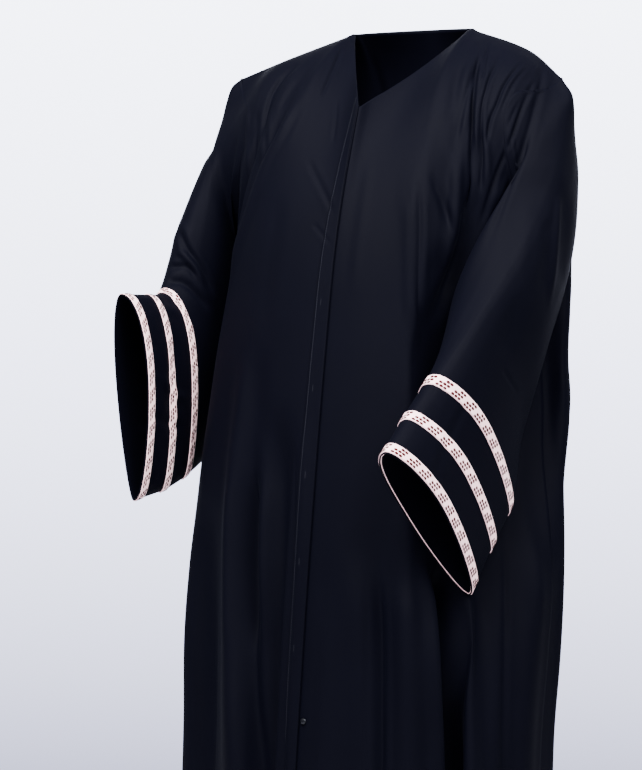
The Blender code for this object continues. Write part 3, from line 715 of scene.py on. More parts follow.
def measured(cloth):
    """How far, in metres, each column lies across from the column at 0 and each row down."""
    across, down = spans(cloth.points)
    return across - np.interp(0.0, cloth.across, across), down


def closed_ring(points):
    """A closed grid with its first column repeated after its last."""
    return np.concatenate((points, points[:1]))


# A crease runs through a few points; width and depth are in millimetres, and depth is outwards.
# Its points are pixels of the picture, or metres across and down the piece where it is hidden. One
# that is placed in the picture fades where the cloth turns away from the camera.
Crease = namedtuple("Crease", "points width depth")
CREASE_STEPS = 24
CREASE_FADE = 0.22
RIM_ASIDE = 1.9
RIM_SHARE = 0.30
FACING_FULL = 0.3
MM_PER_METRE = 1000
PIXELS_PER_MM = VIEW_FOCAL / VIEW_DISTANCE / MM_PER_METRE


def crease_shares(places, crease, per_mm):
    """How much of a crease's depth reaches each place: a trough with a soft rim on both sides."""
    keys = range(len(crease.points))
    ends = len(crease.points) - 1
    line = np.array([curve_through(keys, crease.points, ends * k / CREASE_STEPS)
                     for k in range(CREASE_STEPS + 1)])
    nearest = np.full(places.shape[:2], np.inf)
    run = np.zeros(places.shape[:2])
    for k in range(CREASE_STEPS):
        step = line[k + 1] - line[k]
        share = np.clip(((places - line[k]) @ step) / max(step @ step, TINY), 0.0, 1.0)
        distance = np.linalg.norm(places - line[k] - share[..., None] * step, axis=2)
        closer = distance < nearest
        nearest[closer] = distance[closer]
        run[closer] = (k + share[closer]) / CREASE_STEPS
    reach = nearest / (crease.width * per_mm)
    rim = RIM_SHARE * np.exp(-((reach - RIM_ASIDE) ** 2))
    fade = np.clip(np.minimum(run, 1 - run) / CREASE_FADE, 0.0, 1.0)
    return (np.exp(-(reach ** 2)) - rim) * fade * fade * (3 - 2 * fade)


def lay_creases(cloth, normals, seen, hidden, kept):
    """Push a piece in and out along its creases. kept says how much each place may move."""
    depths = np.zeros(cloth.points.shape[:2])
    pixels = in_picture(cloth.points)
    facing = np.clip((normals @ np.array(towards_eye)) / FACING_FULL, 0.0, 1.0)
    for crease in seen:
        shares = crease_shares(pixels, crease, PIXELS_PER_MM) * facing
        depths += shares * crease.depth / MM_PER_METRE
    places = np.stack(np.meshgrid(*measured(cloth), indexing="ij"), axis=-1)
    for crease in hidden:
        depths += crease_shares(places, crease, 1 / MM_PER_METRE) * crease.depth / MM_PER_METRE
    return cloth.points + normals * (depths * kept)[..., None]


def cloth_piece(name, points, wall, material, flat, closed=False, flip=False):
    """Make a piece of cloth from a fine grid, with its own measure as texture coordinates."""
    across, down = points.shape[:2]
    wide, long = flat
    faces, places = [], []
    for i in range(across if closed else across - 1):
        k = (i + 1) % across
        for j in range(down - 1):
            quad = [(i, j), (i, j + 1), (k, j + 1), (k, j)]
            spots = [(wide[i], long[j]), (wide[i], long[j + 1]),
                     (wide[i + 1], long[j + 1]), (wide[i + 1], long[j])]
            if flip:
                quad, spots = quad[::-1], spots[::-1]
            faces.append([a * down + b for a, b in quad])
            places += spots
    mesh = bpy.data.meshes.new(name)
    mesh.from_pydata([tuple(point) for point in points.reshape(-1, 3)], [], faces)
    mesh.uv_layers.new(name="cut").data.foreach_set("uv", np.array(places, dtype=float).ravel())
    mesh.materials.append(material)
    mesh.shade_smooth()
    piece = put(name, mesh)
    wall_step = piece.modifiers.new("wall", "SOLIDIFY")
    wall_step.thickness = wall
    wall_step.offset = 0.0
    wall_step.use_quality_normals = True
    return piece


# ---- Black crepe ----
# A matte, very dark navy crepe of twisted yarn: a fine pebbled face, slightly uneven in colour,
# with a faint sheen where it turns away. The ribbons and threads share its weave.
CREPE_DARK = (0.00048, 0.00052, 0.00168)
CREPE_LIGHT = (0.00070, 0.00075, 0.00235)
CREPE_ROUGHNESS = 0.66
CREPE_YARNS = 1400.0
CREPE_PEBBLE = 0.0004
CREPE_SHEEN = {"Sheen Weight": 0.004, "Sheen Roughness": 0.45,
               "Sheen Tint": (0.34, 0.38, 0.62, 1.0)}
PATCHES = 9.0
ROUGHNESS_SWING = 0.05


def set_inputs(made, values):
    for name, value in values.items():
        made.inputs[name].default_value = value


def node(tree, kind, inputs=None, **values):
    """Add a shader or geometry node, with the values of its inputs and its properties."""
    made = tree.nodes.new(kind)
    for name, value in values.items():
        setattr(made, name, value)
    set_inputs(made, inputs or {})
    return made


def join(tree, *links):
    """Link nodes: each link is a node and its output, then a node and its input."""
    for giver, output, taker, socket in links:
        tree.links.new(giver.outputs[output], taker.inputs[socket])


def new_material(name):
    """A material, its tree of nodes and its shader."""
    material = bpy.data.materials.new(name)
    material.use_nodes = True
    return material, material.node_tree, material.node_tree.nodes["Principled BSDF"]


def weave_group():
    """Pebble of a cloth's face as a height, and its slow unevenness as a share."""
    tree = bpy.data.node_groups.new("woven face", "ShaderNodeTree")
    for name, start in (("Yarns per metre", CREPE_YARNS), ("Patches per metre", PATCHES)):
        socket = tree.interface.new_socket(name, in_out="INPUT", socket_type="NodeSocketFloat")
        socket.default_value = start
    for name in ("Height", "Unevenness"):
        tree.interface.new_socket(name, in_out="OUTPUT", socket_type="NodeSocketFloat")
    inputs = node(tree, "NodeGroupInput")
    outputs = node(tree, "NodeGroupOutput")
    place = node(tree, "ShaderNodeTexCoord")
    pebble = node(tree, "ShaderNodeTexNoise", {"Detail": 2.0, "Distortion": 0.6})
    patches = node(tree, "ShaderNodeTexNoise", {"Detail": 4.0})
    join(tree,
         (place, "UV", pebble, "Vector"),
         (place, "Object", patches, "Vector"),
         (inputs, "Yarns per metre", pebble, "Scale"),
         (inputs, "Patches per metre", patches, "Scale"),
         (pebble, "Fac", outputs, "Height"),
         (patches, "Fac", outputs, "Unevenness"))
    return tree


def woven(name, dark, light, roughness, yarns, bump, sheen=None):
    """A cloth material over the woven face, uneven between a dark and a light tone."""
    material, tree, shader = new_material(name)
    face = node(tree, "ShaderNodeGroup", {"Yarns per metre": yarns}, node_tree=weave)
    tint = node(tree, "ShaderNodeMix", {"A": (*dark, 1.0), "B": (*light, 1.0)}, data_type="RGBA")
    rough = node(tree, "ShaderNodeMapRange", {"To Min": roughness - ROUGHNESS_SWING,
                                              "To Max": roughness + ROUGHNESS_SWING})
    relief = node(tree, "ShaderNodeBump", {"Strength": 0.5, "Distance": bump})
    join(tree,
         (face, "Unevenness", tint, "Factor"),
         (face, "Unevenness", rough, "Value"),
         (face, "Height", relief, "Height"),
         (tint, "Result", shader, "Base Color"),
         (rough, "Result", shader, "Roughness"),
         (relief, "Normal", shader, "Normal"))
    set_inputs(shader, {"Specular IOR Level": 0.02, **(sheen or {})})
    return material


weave = weave_group()
crepe = woven("black crepe", CREPE_DARK, CREPE_LIGHT, CREPE_ROUGHNESS, CREPE_YARNS, CREPE_PEBBLE,
              CREPE_SHEEN)


# ---- Front and back panels ----
# Three panels of crepe, sewn at the shoulders and sides. The right front laps over the left. Tucks
# run down from the shoulder seams, and the skirt falls in long soft folds to the open hem.
LEFT_SHOULDER_FOLDS = (
    Crease(((527, 58), (512, 74), (503, 88), (497, 104), (491, 118), (488, 132), (484, 152)),
           2.3, -2.3),
    Crease(((530, 64), (516, 80), (507, 97), (500, 112)), 2.4, -0.8),
    Crease(((541, 66), (528, 95), (522, 108), (510, 142), (497, 172), (484, 208), (473, 245)),
           2.4, -2.3),
    Crease(((534, 80), (524, 96), (514, 112), (506, 130)), 2.4, -0.8),
    Crease(((542, 56), (541, 80), (537, 100), (527, 137), (515, 172), (500, 212), (484, 256)),
           4.0, -2.2),
)
LEFT_TUCKS = LEFT_SHOULDER_FOLDS + (
    Crease(((481, 44), (476, 75), (473, 100), (472, 130), (471, 165), (470, 195), (468, 235)),
           2.5, -3.2),
    Crease(((473, 130), (471, 180), (467, 225), (461, 255), (449, 285), (430, 330)), 8.5, -10.0),
    Crease(((503, 175), (490, 212), (477, 252), (462, 290)), 8.0, 5.0),
    Crease(((477, 60), (470, 85), (465, 100), (461, 120), (456, 142)), 3.0, -1.2),
    Crease(((480, 80), (477, 110), (476, 150), (477, 190)), 2.2, 1.1),
    Crease(((490, 42), (485, 62), (483, 82)), 2.2, -1.6),
    Crease(((505, 50), (491, 75), (486, 90), (482, 108), (481, 135), (482, 165), (480, 205)),
           2.3, -2.5),
    Crease(((481, 125), (483, 160), (481, 195)), 3.4, -2.6),
    Crease(((419, 176), (420, 230), (419, 288), (422, 345)), 4.0, -2.4),
    Crease(((430, 168), (441, 200), (451, 226), (455, 264)), 5.0, -2.2),
    Crease(((408, 190), (408, 260), (410, 330)), 6.0, 1.2),
    Crease(((372, 150), (362, 220), (352, 300)), 6.0, 0.8),
)
LEFT_SKIRT = (
    Crease(((358, 540), (361, 650), (362, 720), (362, 1000)), 18.0, 7.0),
    Crease(((378, 560), (380, 640), (380, 700), (380, 780), (379, 1000)), 5.0, -5.0),
    Crease(((404, 575), (406, 640), (408, 720), (410, 1000)), 17.0, 7.0),
    Crease(((434, 550), (445, 600), (450, 650), (452, 700), (454, 770), (457, 1000)), 10.0, -34.0),
    Crease(((466, 560), (469, 640), (473, 700), (476, 1000)), 9.0, 5.0),
    Crease(((505, 520), (505, 640), (503, 780), (503, 1000)), 3.6, -1.8),
    Crease(((530, 600), (530, 700), (528, 1000)), 13.0, 1.5),
)
RIGHT_TUCKS = (
    Crease(((304, 88), (288, 120), (277, 140), (262, 170), (248, 212), (226, 284), (201, 368)),
           4.0, 3.2),
    Crease(((285, 110), (262, 155), (238, 215), (216, 280)), 7.0, -3.0),
    Crease(((306, 60), (290, 72), (275, 90), (268, 110), (265, 130), (262, 165)), 2.5, -1.9),
    Crease(((344, 44), (334, 68), (328, 82), (320, 100)), 2.5, -1.4),
    Crease(((300, 78), (288, 96), (278, 112)), 4.0, -1.2),
    Crease(((258, 108), (256, 140), (255, 175)), 4.0, -1.6),
    Crease(((248, 96), (248, 140), (249, 190)), 2.2, 1.0),
    Crease(((236, 96), (234, 140), (236, 190)), 5.0, -1.4),
    Crease(((223, 110), (222, 150), (222, 210)), 2.2, 0.9),
    Crease(((306, 156), (322, 188), (338, 220)), 3.6, -0.8),
    Crease(((312, 222), (324, 236), (336, 248)), 3.0, -0.5),
    Crease(((337, 98), (336, 120), (333, 146)), 2.2, -0.8),
    Crease(((282, 190), (270, 260), (262, 340)), 8.0, -1.2),
)
RIGHT_SKIRT = (
    Crease(((248, 340), (243, 400), (236, 480), (233, 640), (232, 740), (231, 1000)), 10.0, 6.0),
    Crease(((278, 400), (278, 500), (276, 640), (272, 760), (268, 1000)), 19.0, -13.0),
    Crease(((254, 420), (249, 520), (249, 620), (251, 700), (255, 780), (258, 1000)), 9.5, -15.0),
    Crease(((251, 470), (248, 560), (249, 660)), 9.0, -6.0),
    Crease(((264, 560), (268, 700), (270, 800), (270, 1000)), 13.0, -8.0),
    Crease(((212, 480), (206, 600), (204, 740), (203, 1000)), 12.0, -4.5),
)
LEFT_HIDDEN = (
    Crease(((0.300, 0.42), (0.306, 0.80), (0.300, 1.42)), 9.0, -4.0),
    Crease(((0.250, 0.95), (0.254, 1.20), (0.250, 1.44)), 9.0, 3.0),
    Crease(((0.335, 0.60), (0.340, 0.90), (0.338, 1.42)), 8.0, 2.6),
)
RIGHT_HIDDEN = (
    Crease(((0.285, 0.46), (0.290, 0.85), (0.288, 1.42)), 9.0, -3.6),
    Crease(((0.325, 0.55), (0.330, 0.90), (0.326, 1.42)), 8.0, 3.0),
    Crease(((0.235, 0.98), (0.236, 1.20), (0.232, 1.44)), 9.0, -2.4),
)
BACK_HIDDEN = (
    Crease(((0.170, 0.02), (0.150, 0.14), (0.118, 0.30), (0.100, 0.52)), 7.0, -3.4),
    Crease(((0.195, 0.02), (0.186, 0.12), (0.164, 0.28), (0.150, 0.44)), 6.0, -2.6),
    Crease(((0.182, 0.02), (0.168, 0.14), (0.140, 0.32)), 5.0, 1.8),
    Crease(((0.098, 0.02), (0.070, 0.15), (0.040, 0.34), (0.030, 0.60)), 8.0, 2.4),
    Crease(((-0.164, 0.02), (-0.150, 0.16), (-0.124, 0.34), (-0.112, 0.60)), 7.0, -3.2),
    Crease(((-0.200, 0.02), (-0.186, 0.16), (-0.170, 0.34)), 6.0, -2.4),
    Crease(((-0.104, 0.02), (-0.080, 0.18), (-0.052, 0.42)), 8.0, 2.0),
    Crease(((0.020, 0.04), (0.012, 0.22), (0.018, 0.46)), 8.0, -1.8),
    Crease(((-0.040, 0.50), (-0.046, 0.90), (-0.040, 1.44)), 9.0, -3.4),
    Crease(((0.060, 0.46), (0.064, 0.90), (0.060, 1.44)), 10.0, 3.4),
    Crease(((0.112, 0.50), (0.116, 0.94), (0.120, 1.44)), 8.0, -4.2),
    Crease(((0.170, 0.52), (0.178, 1.00), (0.176, 1.44)), 9.0, 3.0),
    Crease(((0.236, 0.56), (0.240, 1.00), (0.242, 1.44)), 8.0, -3.6),
    Crease(((0.282, 0.70), (0.284, 1.10), (0.286, 1.44)), 8.0, 2.4),
    Crease(((0.246, 0.10), (0.250, 0.24), (0.256, 0.38), (0.264, 0.57)), 24.0, 18.0),
    Crease(((-0.100, 0.56), (-0.106, 1.00), (-0.110, 1.44)), 10.0, 3.2),
    Crease(((-0.160, 0.50), (-0.170, 0.98), (-0.166, 1.44)), 8.0, -4.4),
    Crease(((-0.222, 0.60), (-0.226, 1.02), (-0.228, 1.44)), 9.0, 3.0),
    Crease(((-0.276, 0.66), (-0.280, 1.06), (-0.278, 1.44)), 8.0, -3.0),
)

# How far apart the points of the fine cloth lie.
ACROSS_SPACING = 0.0027
YOKE_SPACING = 0.0045
SKIRT_SPACING = 0.0115
FINE_UNTIL = 1.05
BACK_SPACING = (0.0050, 0.0058)

# How far each front laps over the side seam, and how far from its edges a panel is held still.
SIDE_LAP = 0.0020
SIDE_LIFT = 0.0005
SIDE_LAP_FROM = 0.05
SIDE_LAP_GROWS = 0.10
SEAM_STILL = 0.030
SEAM_LEAST = 0.0005
STILL_FROM = 0.35
STILL_GROWS = 0.25
OPENING_STILL = 0.022
TOP_STILL = 0.012


def panel_kept(cloth, opening):
    """How freely a panel's places move: not at its seams, its top or the lapped opening."""
    across, down = measured(cloth)
    if opening:
        still = SEAM_STILL * ease((cloth.down - STILL_FROM) / STILL_GROWS) + SEAM_LEAST
        kept = ease((across[-1] - across)[:, None] / still[None, :])
        kept *= ease(across / OPENING_STILL)[:, None]
    else:
        kept = ease((across[-1] - across) / SEAM_STILL)[:, None]
        kept = kept * ease((across - across[0]) / SEAM_STILL)[:, None]
    return kept * ease(down / TOP_STILL)[None, :]


def finish_sheet(piece, node_name):
    """Hang a piece of cloth on the robe's root and hide the solid that it stands for."""
    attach(piece, "root")
    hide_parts(node_name)


front_cloths = {}
for side, tucks, skirt, hidden in ((1, LEFT_TUCKS, LEFT_SKIRT, LEFT_HIDDEN),
                                   (-1, RIGHT_TUCKS, RIGHT_SKIRT, RIGHT_HIDDEN)):
    spacing = [YOKE_SPACING if down < FINE_UNTIL else SKIRT_SPACING for down in panel_rows()[:-1]]
    cloth = fine_cloth(fronts[side], front_columns(lap=side > 0), panel_rows(), ACROSS_SPACING,
                       spacing)
    points = lay_creases(cloth, -side * grid_normals(cloth.points), tucks + skirt, hidden,
                         panel_kept(cloth, opening=True))
    onward = units(points[-1] - points[-2])
    below = ease((cloth.down - UNDERARM - SIDE_LAP_FROM) / SIDE_LAP_GROWS)[:, None]
    points[-1] += below * (onward * SIDE_LAP - side * grid_normals(points)[-1] * SIDE_LIFT)
    front_cloths[side] = Cloth(points, cloth.across, cloth.down)
    name = "front_left" if side > 0 else "front_right"
    piece = cloth_piece(name + "_cloth", points, WALL, crepe, measured(front_cloths[side]),
                        flip=side < 0)
    finish_sheet(piece, name)

cloth = fine_cloth(back, back_columns(), panel_rows(), *BACK_SPACING)
points = lay_creases(cloth, grid_normals(cloth.points), (), BACK_HIDDEN,
                     panel_kept(cloth, opening=False))
back_cloth = Cloth(points, cloth.across, cloth.down)
piece = cloth_piece("back_cloth", points, WALL, crepe, measured(back_cloth), flip=True)
finish_sheet(piece, "back")


# ---- Sleeves ----
# Each sleeve is one wide piece of crepe, sewn into the armhole. Its cloth breaks into small folds
# inside the elbow and hangs in two soft layers from the forearm to the open cuff.
LEFT_SLEEVE_SEEN = LEFT_SHOULDER_FOLDS + (
    Crease(((559, 190), (557, 222), (554, 262), (548, 315)), 3.0, 1.5),
    Crease(((548, 215), (547, 250), (541, 300)), 6.0, -1.4),
    Crease(((566, 190), (564, 240), (560, 300)), 5.0, -1.4),
    Crease(((530, 190), (524, 250), (510, 320)), 9.0, 0.9),
    Crease(((502, 366), (509, 380), (519, 394)), 1.8, -0.9),
    Crease(((520, 250), (514, 310), (500, 360)), 9.0, -1.0),
    Crease(((472, 396), (458, 420), (444, 450), (430, 494)), 5.0, -1.0),
    Crease(((474, 280), (440, 344), (424, 372), (412, 392)), 11.0, 2.0),
)
RIGHT_SLEEVE_SEEN = (
    Crease(((180, 224), (186, 246), (203, 272), (215, 298)), 4.0, -3.0),
    Crease(((168, 268), (186, 267), (198, 278)), 3.5, -2.4),
    Crease(((166, 282), (186, 285), (212, 312)), 4.0, -2.8),
    Crease(((176, 250), (192, 262), (206, 286)), 3.5, 1.8),
    Crease(((160, 300), (182, 306), (200, 330)), 5.0, -1.4),
    Crease(((196, 150), (188, 190), (180, 230)), 6.0, -1.8),
    Crease(((176, 330), (172, 380), (168, 440)), 5.0, -1.4),
    Crease(((158, 372), (172, 392), (190, 400)), 5.0, 1.3),
    Crease(((150, 410), (168, 424), (186, 424)), 5.0, -1.2),
)
RIGHT_SLEEVE_HIDDEN = (
    Crease(((0.0, 0.11), (0.0, 0.20), (0.0, 0.30)), 26.0, 5.0),
    Crease(((0.5585, 0.11), (0.5585, 0.20), (0.5585, 0.30)), 26.0, 5.0),
    Crease(((0.36, 0.10), (0.40, 0.20), (0.42, 0.32)), 7.0, -2.4),
    Crease(((0.44, 0.08), (0.47, 0.18), (0.46, 0.30)), 7.0, 2.0),
    Crease(((0.30, 0.26), (0.36, 0.34), (0.38, 0.46)), 6.0, -2.0),
    Crease(((0.42, 0.34), (0.44, 0.44)), 6.0, 1.6),
)
LEFT_SLEEVE_HIDDEN = (
    Crease(((0.0, 0.005), (0.0, 0.06), (0.0, 0.14)), 30.0, 3.8),
    Crease(((0.4875, 0.005), (0.4875, 0.06), (0.4875, 0.14)), 30.0, 3.8),
    Crease(((0.20, 0.10), (0.16, 0.20), (0.14, 0.32)), 7.0, -2.4),
    Crease(((0.12, 0.08), (0.09, 0.18), (0.10, 0.30)), 7.0, 2.0),
    Crease(((0.26, 0.26), (0.20, 0.34), (0.18, 0.46)), 6.0, -2.0),
    Crease(((0.14, 0.34), (0.12, 0.44)), 6.0, 1.6),
)
SLEEVE_SPACING = 0.0034
ARMHOLE_STILL = 0.020

# The left sleeve's upper fold has slid this far towards the cuff. The slide grows from SLID_FROM
# metres down the sleeve, and eases off round it, away from the fold.
SLID_BY = 0.0086
SLID_FROM = 0.20
SLID_GROWS = 0.14
SLID_AROUND = 0.24
SLID_EASES = 0.20

# Where, round the shoulder, the sleeve's edge laps over the panels at the armhole.
LAP_OVER_FROM = 0.26
LAP_OVER_GROWS = 0.08

sleeve_cloths = {}
for side, seen, hidden in ((1, LEFT_SLEEVE_SEEN, LEFT_SLEEVE_HIDDEN),
                           (-1, RIGHT_SLEEVE_SEEN, RIGHT_SLEEVE_HIDDEN)):
    name = "sleeve_left" if side > 0 else "sleeve_right"
    rows = list(range(sleeves[side].shape[1]))
    cloth = fine_cloth(sleeves[side], sleeve_rounds(), rows, SLEEVE_SPACING, SLEEVE_SPACING,
                       closed=True)
    down = measured(cloth)[1]
    down_armhole = np.where(cloth.across < 0.5, cloth.across, 1.0) * 2 * UNDERARM
    fixed = ease((down_armhole - STILL_FROM) / STILL_GROWS)
    kept = ease(down[None, :] / (ARMHOLE_STILL * fixed[:, None] + SEAM_LEAST))
    points = lay_creases(cloth, side * grid_normals(cloth.points, closed=True), seen, hidden, kept)
    if side > 0:
        near_fold = ease((SLID_AROUND - np.minimum(cloth.across, 1 - cloth.across)) / SLID_EASES)
        slid = SLID_BY * near_fold[:, None] * ease((down - SLID_FROM) / SLID_GROWS)
        points += units(np.gradient(points, axis=1)) * slid[:, :, None]
    over = ease((abs(cloth.across - 0.5) - LAP_OVER_FROM) / LAP_OVER_GROWS)[:, None]
    onward = units(points[:, 0] - points[:, 1])
    out_of_edge = side * grid_normals(points, closed=True)[:, 0]
    points[:, 0] += over * (onward * SIDE_LAP + out_of_edge * SIDE_LIFT)
    sleeve_cloths[side] = Cloth(points, cloth.across, cloth.down)
    wide = spans(closed_ring(points))[0]
    piece = cloth_piece(name + "_cloth", points, WALL, crepe, (wide, down), closed=True,
                        flip=side > 0)
    finish_sheet(piece, name)


# ---- Placket band ----
# A doubled strip of the crepe, about two centimetres wide, sewn down along the right front's edge.
# It hides the fastening under it.
BAND_WALL = 0.0009
LAY_GAP = 0.0003

right_front = front_cloths[-1]
in_band = right_front.across <= BAND_TURN + TINY
out_of_right = grid_normals(right_front.points)
lift = WALL / 2 + LAY_GAP + BAND_WALL / 2
band_points = (right_front.points + out_of_right * lift)[in_band]
band_cloth = Cloth(band_points, right_front.across[in_band], right_front.down)
piece = cloth_piece("placket_band_cloth", band_points, BAND_WALL, crepe, measured(band_cloth),
                    flip=True)
finish_sheet(piece, "placket_band")


# ---- Ribbons ----
# Three pale woven ribbons run round each sleeve above the cuff, flat on the cloth and sewn down
# along both edges. Clusters of small red dots are embroidered on them at an even pitch.
RIBBON_WALL = 0.0007
RIBBON_DARK = (0.80, 0.50, 0.52)
RIBBON_LIGHT = (0.94, 0.62, 0.64)
Pad = namedtuple("Pad", "length width height unevenness")
DOT = Pad(0.0047, 0.0034, 0.0009, 0.06)
DOT_DARK = (0.022, 0.0008, 0.0017)
DOT_LIGHT = (0.036, 0.0014, 0.0028)

# A cluster is three short rows of dots, each slanted on from the last, and comes again at an even
# pitch all round.
DOT_PITCH = 0.0049
DOT_ROWS = 0.0041
DOT_SLANT = 0.0023
CLUSTER_PITCH = 0.0205
CLUSTER_COUNTS = (2, 3, 3)

# How far the turned edge inside the left cuff reaches, and the slack in finding a ribbon's rows.
TURNED_ROWS = (0.0016, 0.0024)
ROW_SLACK = 1e-6

pale_ribbon = woven("pale ribbon", RIBBON_DARK, RIBBON_LIGHT, roughness=0.55, yarns=2200.0,
                    bump=0.0002, sheen={"Sheen Weight": 0.15})
dot_thread = woven("red embroidery", DOT_DARK, DOT_LIGHT, roughness=0.5, yarns=3000.0,
                   bump=0.0002, sheen={"Sheen Weight": 0.10})


def laid_group():
    """Small rounded pads laid on points: aim runs along each pad and out is off the cloth."""
    tree = bpy.data.node_groups.new("laid pads", "GeometryNodeTree")
    for name, kind in (("Geometry", "Geometry"), ("Length", "Float"), ("Width", "Float"),
                       ("Height", "Float"), ("Unevenness", "Float"), ("Roundness", "Int"),
                       ("Seed", "Int"), ("Material", "Material")):
        tree.interface.new_socket(name, in_out="INPUT", socket_type="NodeSocket" + kind)
    tree.interface.new_socket("Geometry", in_out="OUTPUT", socket_type="NodeSocketGeometry")
    inputs = node(tree, "NodeGroupInput")
    outputs = node(tree, "NodeGroupOutput")
    aim = node(tree, "GeometryNodeInputNamedAttribute", {"Name": "aim"}, data_type="FLOAT_VECTOR")
    out = node(tree, "GeometryNodeInputNamedAttribute", {"Name": "out"}, data_type="FLOAT_VECTOR")
    turned = node(tree, "FunctionNodeAxesToRotation", primary_axis="Z", secondary_axis="X")
    pad = node(tree, "GeometryNodeMeshIcoSphere", {"Radius": 0.5})
    smooth = node(tree, "GeometryNodeSetShadeSmooth")
    size = node(tree, "ShaderNodeCombineXYZ")
    least = node(tree, "ShaderNodeMath", {0: 1.0}, operation="SUBTRACT")
    most = node(tree, "ShaderNodeMath", {0: 1.0}, operation="ADD")
    varied = node(tree, "FunctionNodeRandomValue", data_type="FLOAT")
    scaled = node(tree, "ShaderNodeVectorMath", operation="SCALE")
    place = node(tree, "GeometryNodeInstanceOnPoints")
    real = node(tree, "GeometryNodeRealizeInstances")
    coat = node(tree, "GeometryNodeSetMaterial")
    join(tree,
         (out, "Attribute", turned, "Primary Axis"),
         (aim, "Attribute", turned, "Secondary Axis"),
         (inputs, "Roundness", pad, "Subdivisions"),
         (pad, "Mesh", smooth, "Geometry"),
         (inputs, "Length", size, "X"),
         (inputs, "Width", size, "Y"),
         (inputs, "Height", size, "Z"),
         (inputs, "Unevenness", least, 1),
         (inputs, "Unevenness", most, 1),
         (least, "Value", varied, 2),
         (most, "Value", varied, 3),
         (inputs, "Seed", varied, "Seed"),
         (size, "Vector", scaled, 0),
         (varied, 1, scaled, "Scale"),
         (inputs, "Geometry", place, "Points"),
         (smooth, "Geometry", place, "Instance"),
         (turned, "Rotation", place, "Rotation"),
         (scaled, "Vector", place, "Scale"),
         (place, "Instances", real, "Geometry"),
         (real, "Geometry", coat, "Geometry"),
         (inputs, "Material", coat, "Material"),
         (coat, "Geometry", outputs, "Geometry"))
    return tree


laid_pads = laid_group()
Spot = namedtuple("Spot", "place aim out")


def lay_pads(name, spots, pad, material, roundness, seed):
    """Lay one pad on every spot and turn the result into a plain mesh that rides with the robe."""
    start = bpy.data.meshes.new(name + " places")
    start.from_pydata([tuple(spot.place) for spot in spots], [], [])
    for word in ("aim", "out"):
        values = np.array([getattr(spot, word) for spot in spots], dtype=float)
        attribute = start.attributes.new(word, "FLOAT_VECTOR", "POINT")
        attribute.data.foreach_set("vector", values.ravel())
    piece = put(name, start)
    laying = piece.modifiers.new("laid", "NODES")
    laying.node_group = laid_pads
    values = {"Length": pad.length, "Width": pad.width, "Height": pad.height,
              "Unevenness": pad.unevenness, "Roundness": roundness, "Seed": seed,
              "Material": material}
    for socket in laid_pads.interface.items_tree:
        if socket.in_out == "INPUT" and socket.name in values:
            laying[socket.identifier] = values[socket.name]
    seen_now = piece.evaluated_get(bpy.context.evaluated_depsgraph_get())
    piece.data = bpy.data.meshes.new_from_object(seen_now)
    piece.modifiers.remove(laying)
    piece.data.name = name
    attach(piece, "root")


def read_grid(grid, across, down, at_across, at_down):
    """Read a grid of vectors between its columns and rows."""
    i = min(max(int(np.searchsorted(across, at_across, side="right")) - 1, 0), len(across) - 2)
    j = min(max(int(np.searchsorted(down, at_down, side="right")) - 1, 0), len(down) - 2)
    s = min(max((at_across - across[i]) / (across[i + 1] - across[i]), 0.0), 1.0)
    t = min(max((at_down - down[j]) / (down[j + 1] - down[j]), 0.0), 1.0)
    one = grid[i, j] * (1 - s) + grid[i + 1, j] * s
    other = grid[i, j + 1] * (1 - s) + grid[i + 1, j + 1] * s
    return one * (1 - t) + other * t


def row_at(grid, keys, at):
    """A line of a grid's points at a place along its first axis."""
    k = min(max(int(np.searchsorted(keys, at, side="right")) - 1, 0), len(keys) - 2)
    t = (at - keys[k]) / (keys[k + 1] - keys[k])
    return grid[k] * (1 - t) + grid[k + 1] * t


stitched_edges = []
for side, word in ((1, "left"), (-1, "right")):
    cloth = sleeve_cloths[side]
    out_of_sleeve = side * grid_normals(cloth.points, closed=True)
    rows_in_all = int(round(cloth.down[-1]))
    lift = WALL / 2 + LAY_GAP + RIBBON_WALL / 2
    for number in range(1, RIBBON_COUNT + 1):
        first = rows_in_all - 2 * number
        chosen = (cloth.down >= first - ROW_SLACK) & (cloth.down <= first + 1 + ROW_SLACK)
        outward = out_of_sleeve[:, chosen]
        strip = cloth.points[:, chosen] + outward * lift
        ring, ring_out = closed_ring(strip), closed_ring(outward)
        wide, long = spans(ring)[0], spans(strip)[1]
        name = f"ribbon_{word}_{number}"
        piece = cloth_piece(name + "_band", strip, RIBBON_WALL, pale_ribbon, (wide, long),
                            closed=True, flip=side > 0)
        finish_sheet(piece, name)
        along = closed_ring(np.roll(strip, -1, axis=0) - np.roll(strip, 1, axis=0))
        clusters = round(wide[-1] / CLUSTER_PITCH)
        pitch = wide[-1] / clusters
        spots = []
        for k in range(clusters):
            for row, count in enumerate(CLUSTER_COUNTS):
                for n in range(count):
                    u = (k * pitch + row * DOT_SLANT + n * DOT_PITCH) % wide[-1]
                    v = long[-1] / 2 + (row - 1) * DOT_ROWS
                    out = unit(read_grid(ring_out, wide, long, u, v))
                    place = read_grid(ring, wide, long, u, v) + out * RIBBON_WALL / 2
                    spots.append(Spot(place, unit(read_grid(along, wide, long, u, v)), out))
        lay_pads(f"dots_{word}_{number}", spots, DOT, dot_thread, roundness=2,
                 seed=number)
        stitched_edges.append((ring, ring_out, long))
    if side > 0:
        # The left cuff gapes: the first ribbon's edge, turned in over it, shows as a pale line.
        from_cuff = cloth.points[:, ::-1]
        keys = spans(from_cuff)[1]
        turned = np.stack([row_at(from_cuff.transpose(1, 0, 2), keys, at)
                           - out_of_sleeve[:, -1] * lift for at in TURNED_ROWS], axis=1)
        piece = cloth_piece("cuff_left_turning", turned, RIBBON_WALL, pale_ribbon,
                            (spans(closed_ring(turned))[0], np.array(TURNED_ROWS)), closed=True)
        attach(piece, "root")


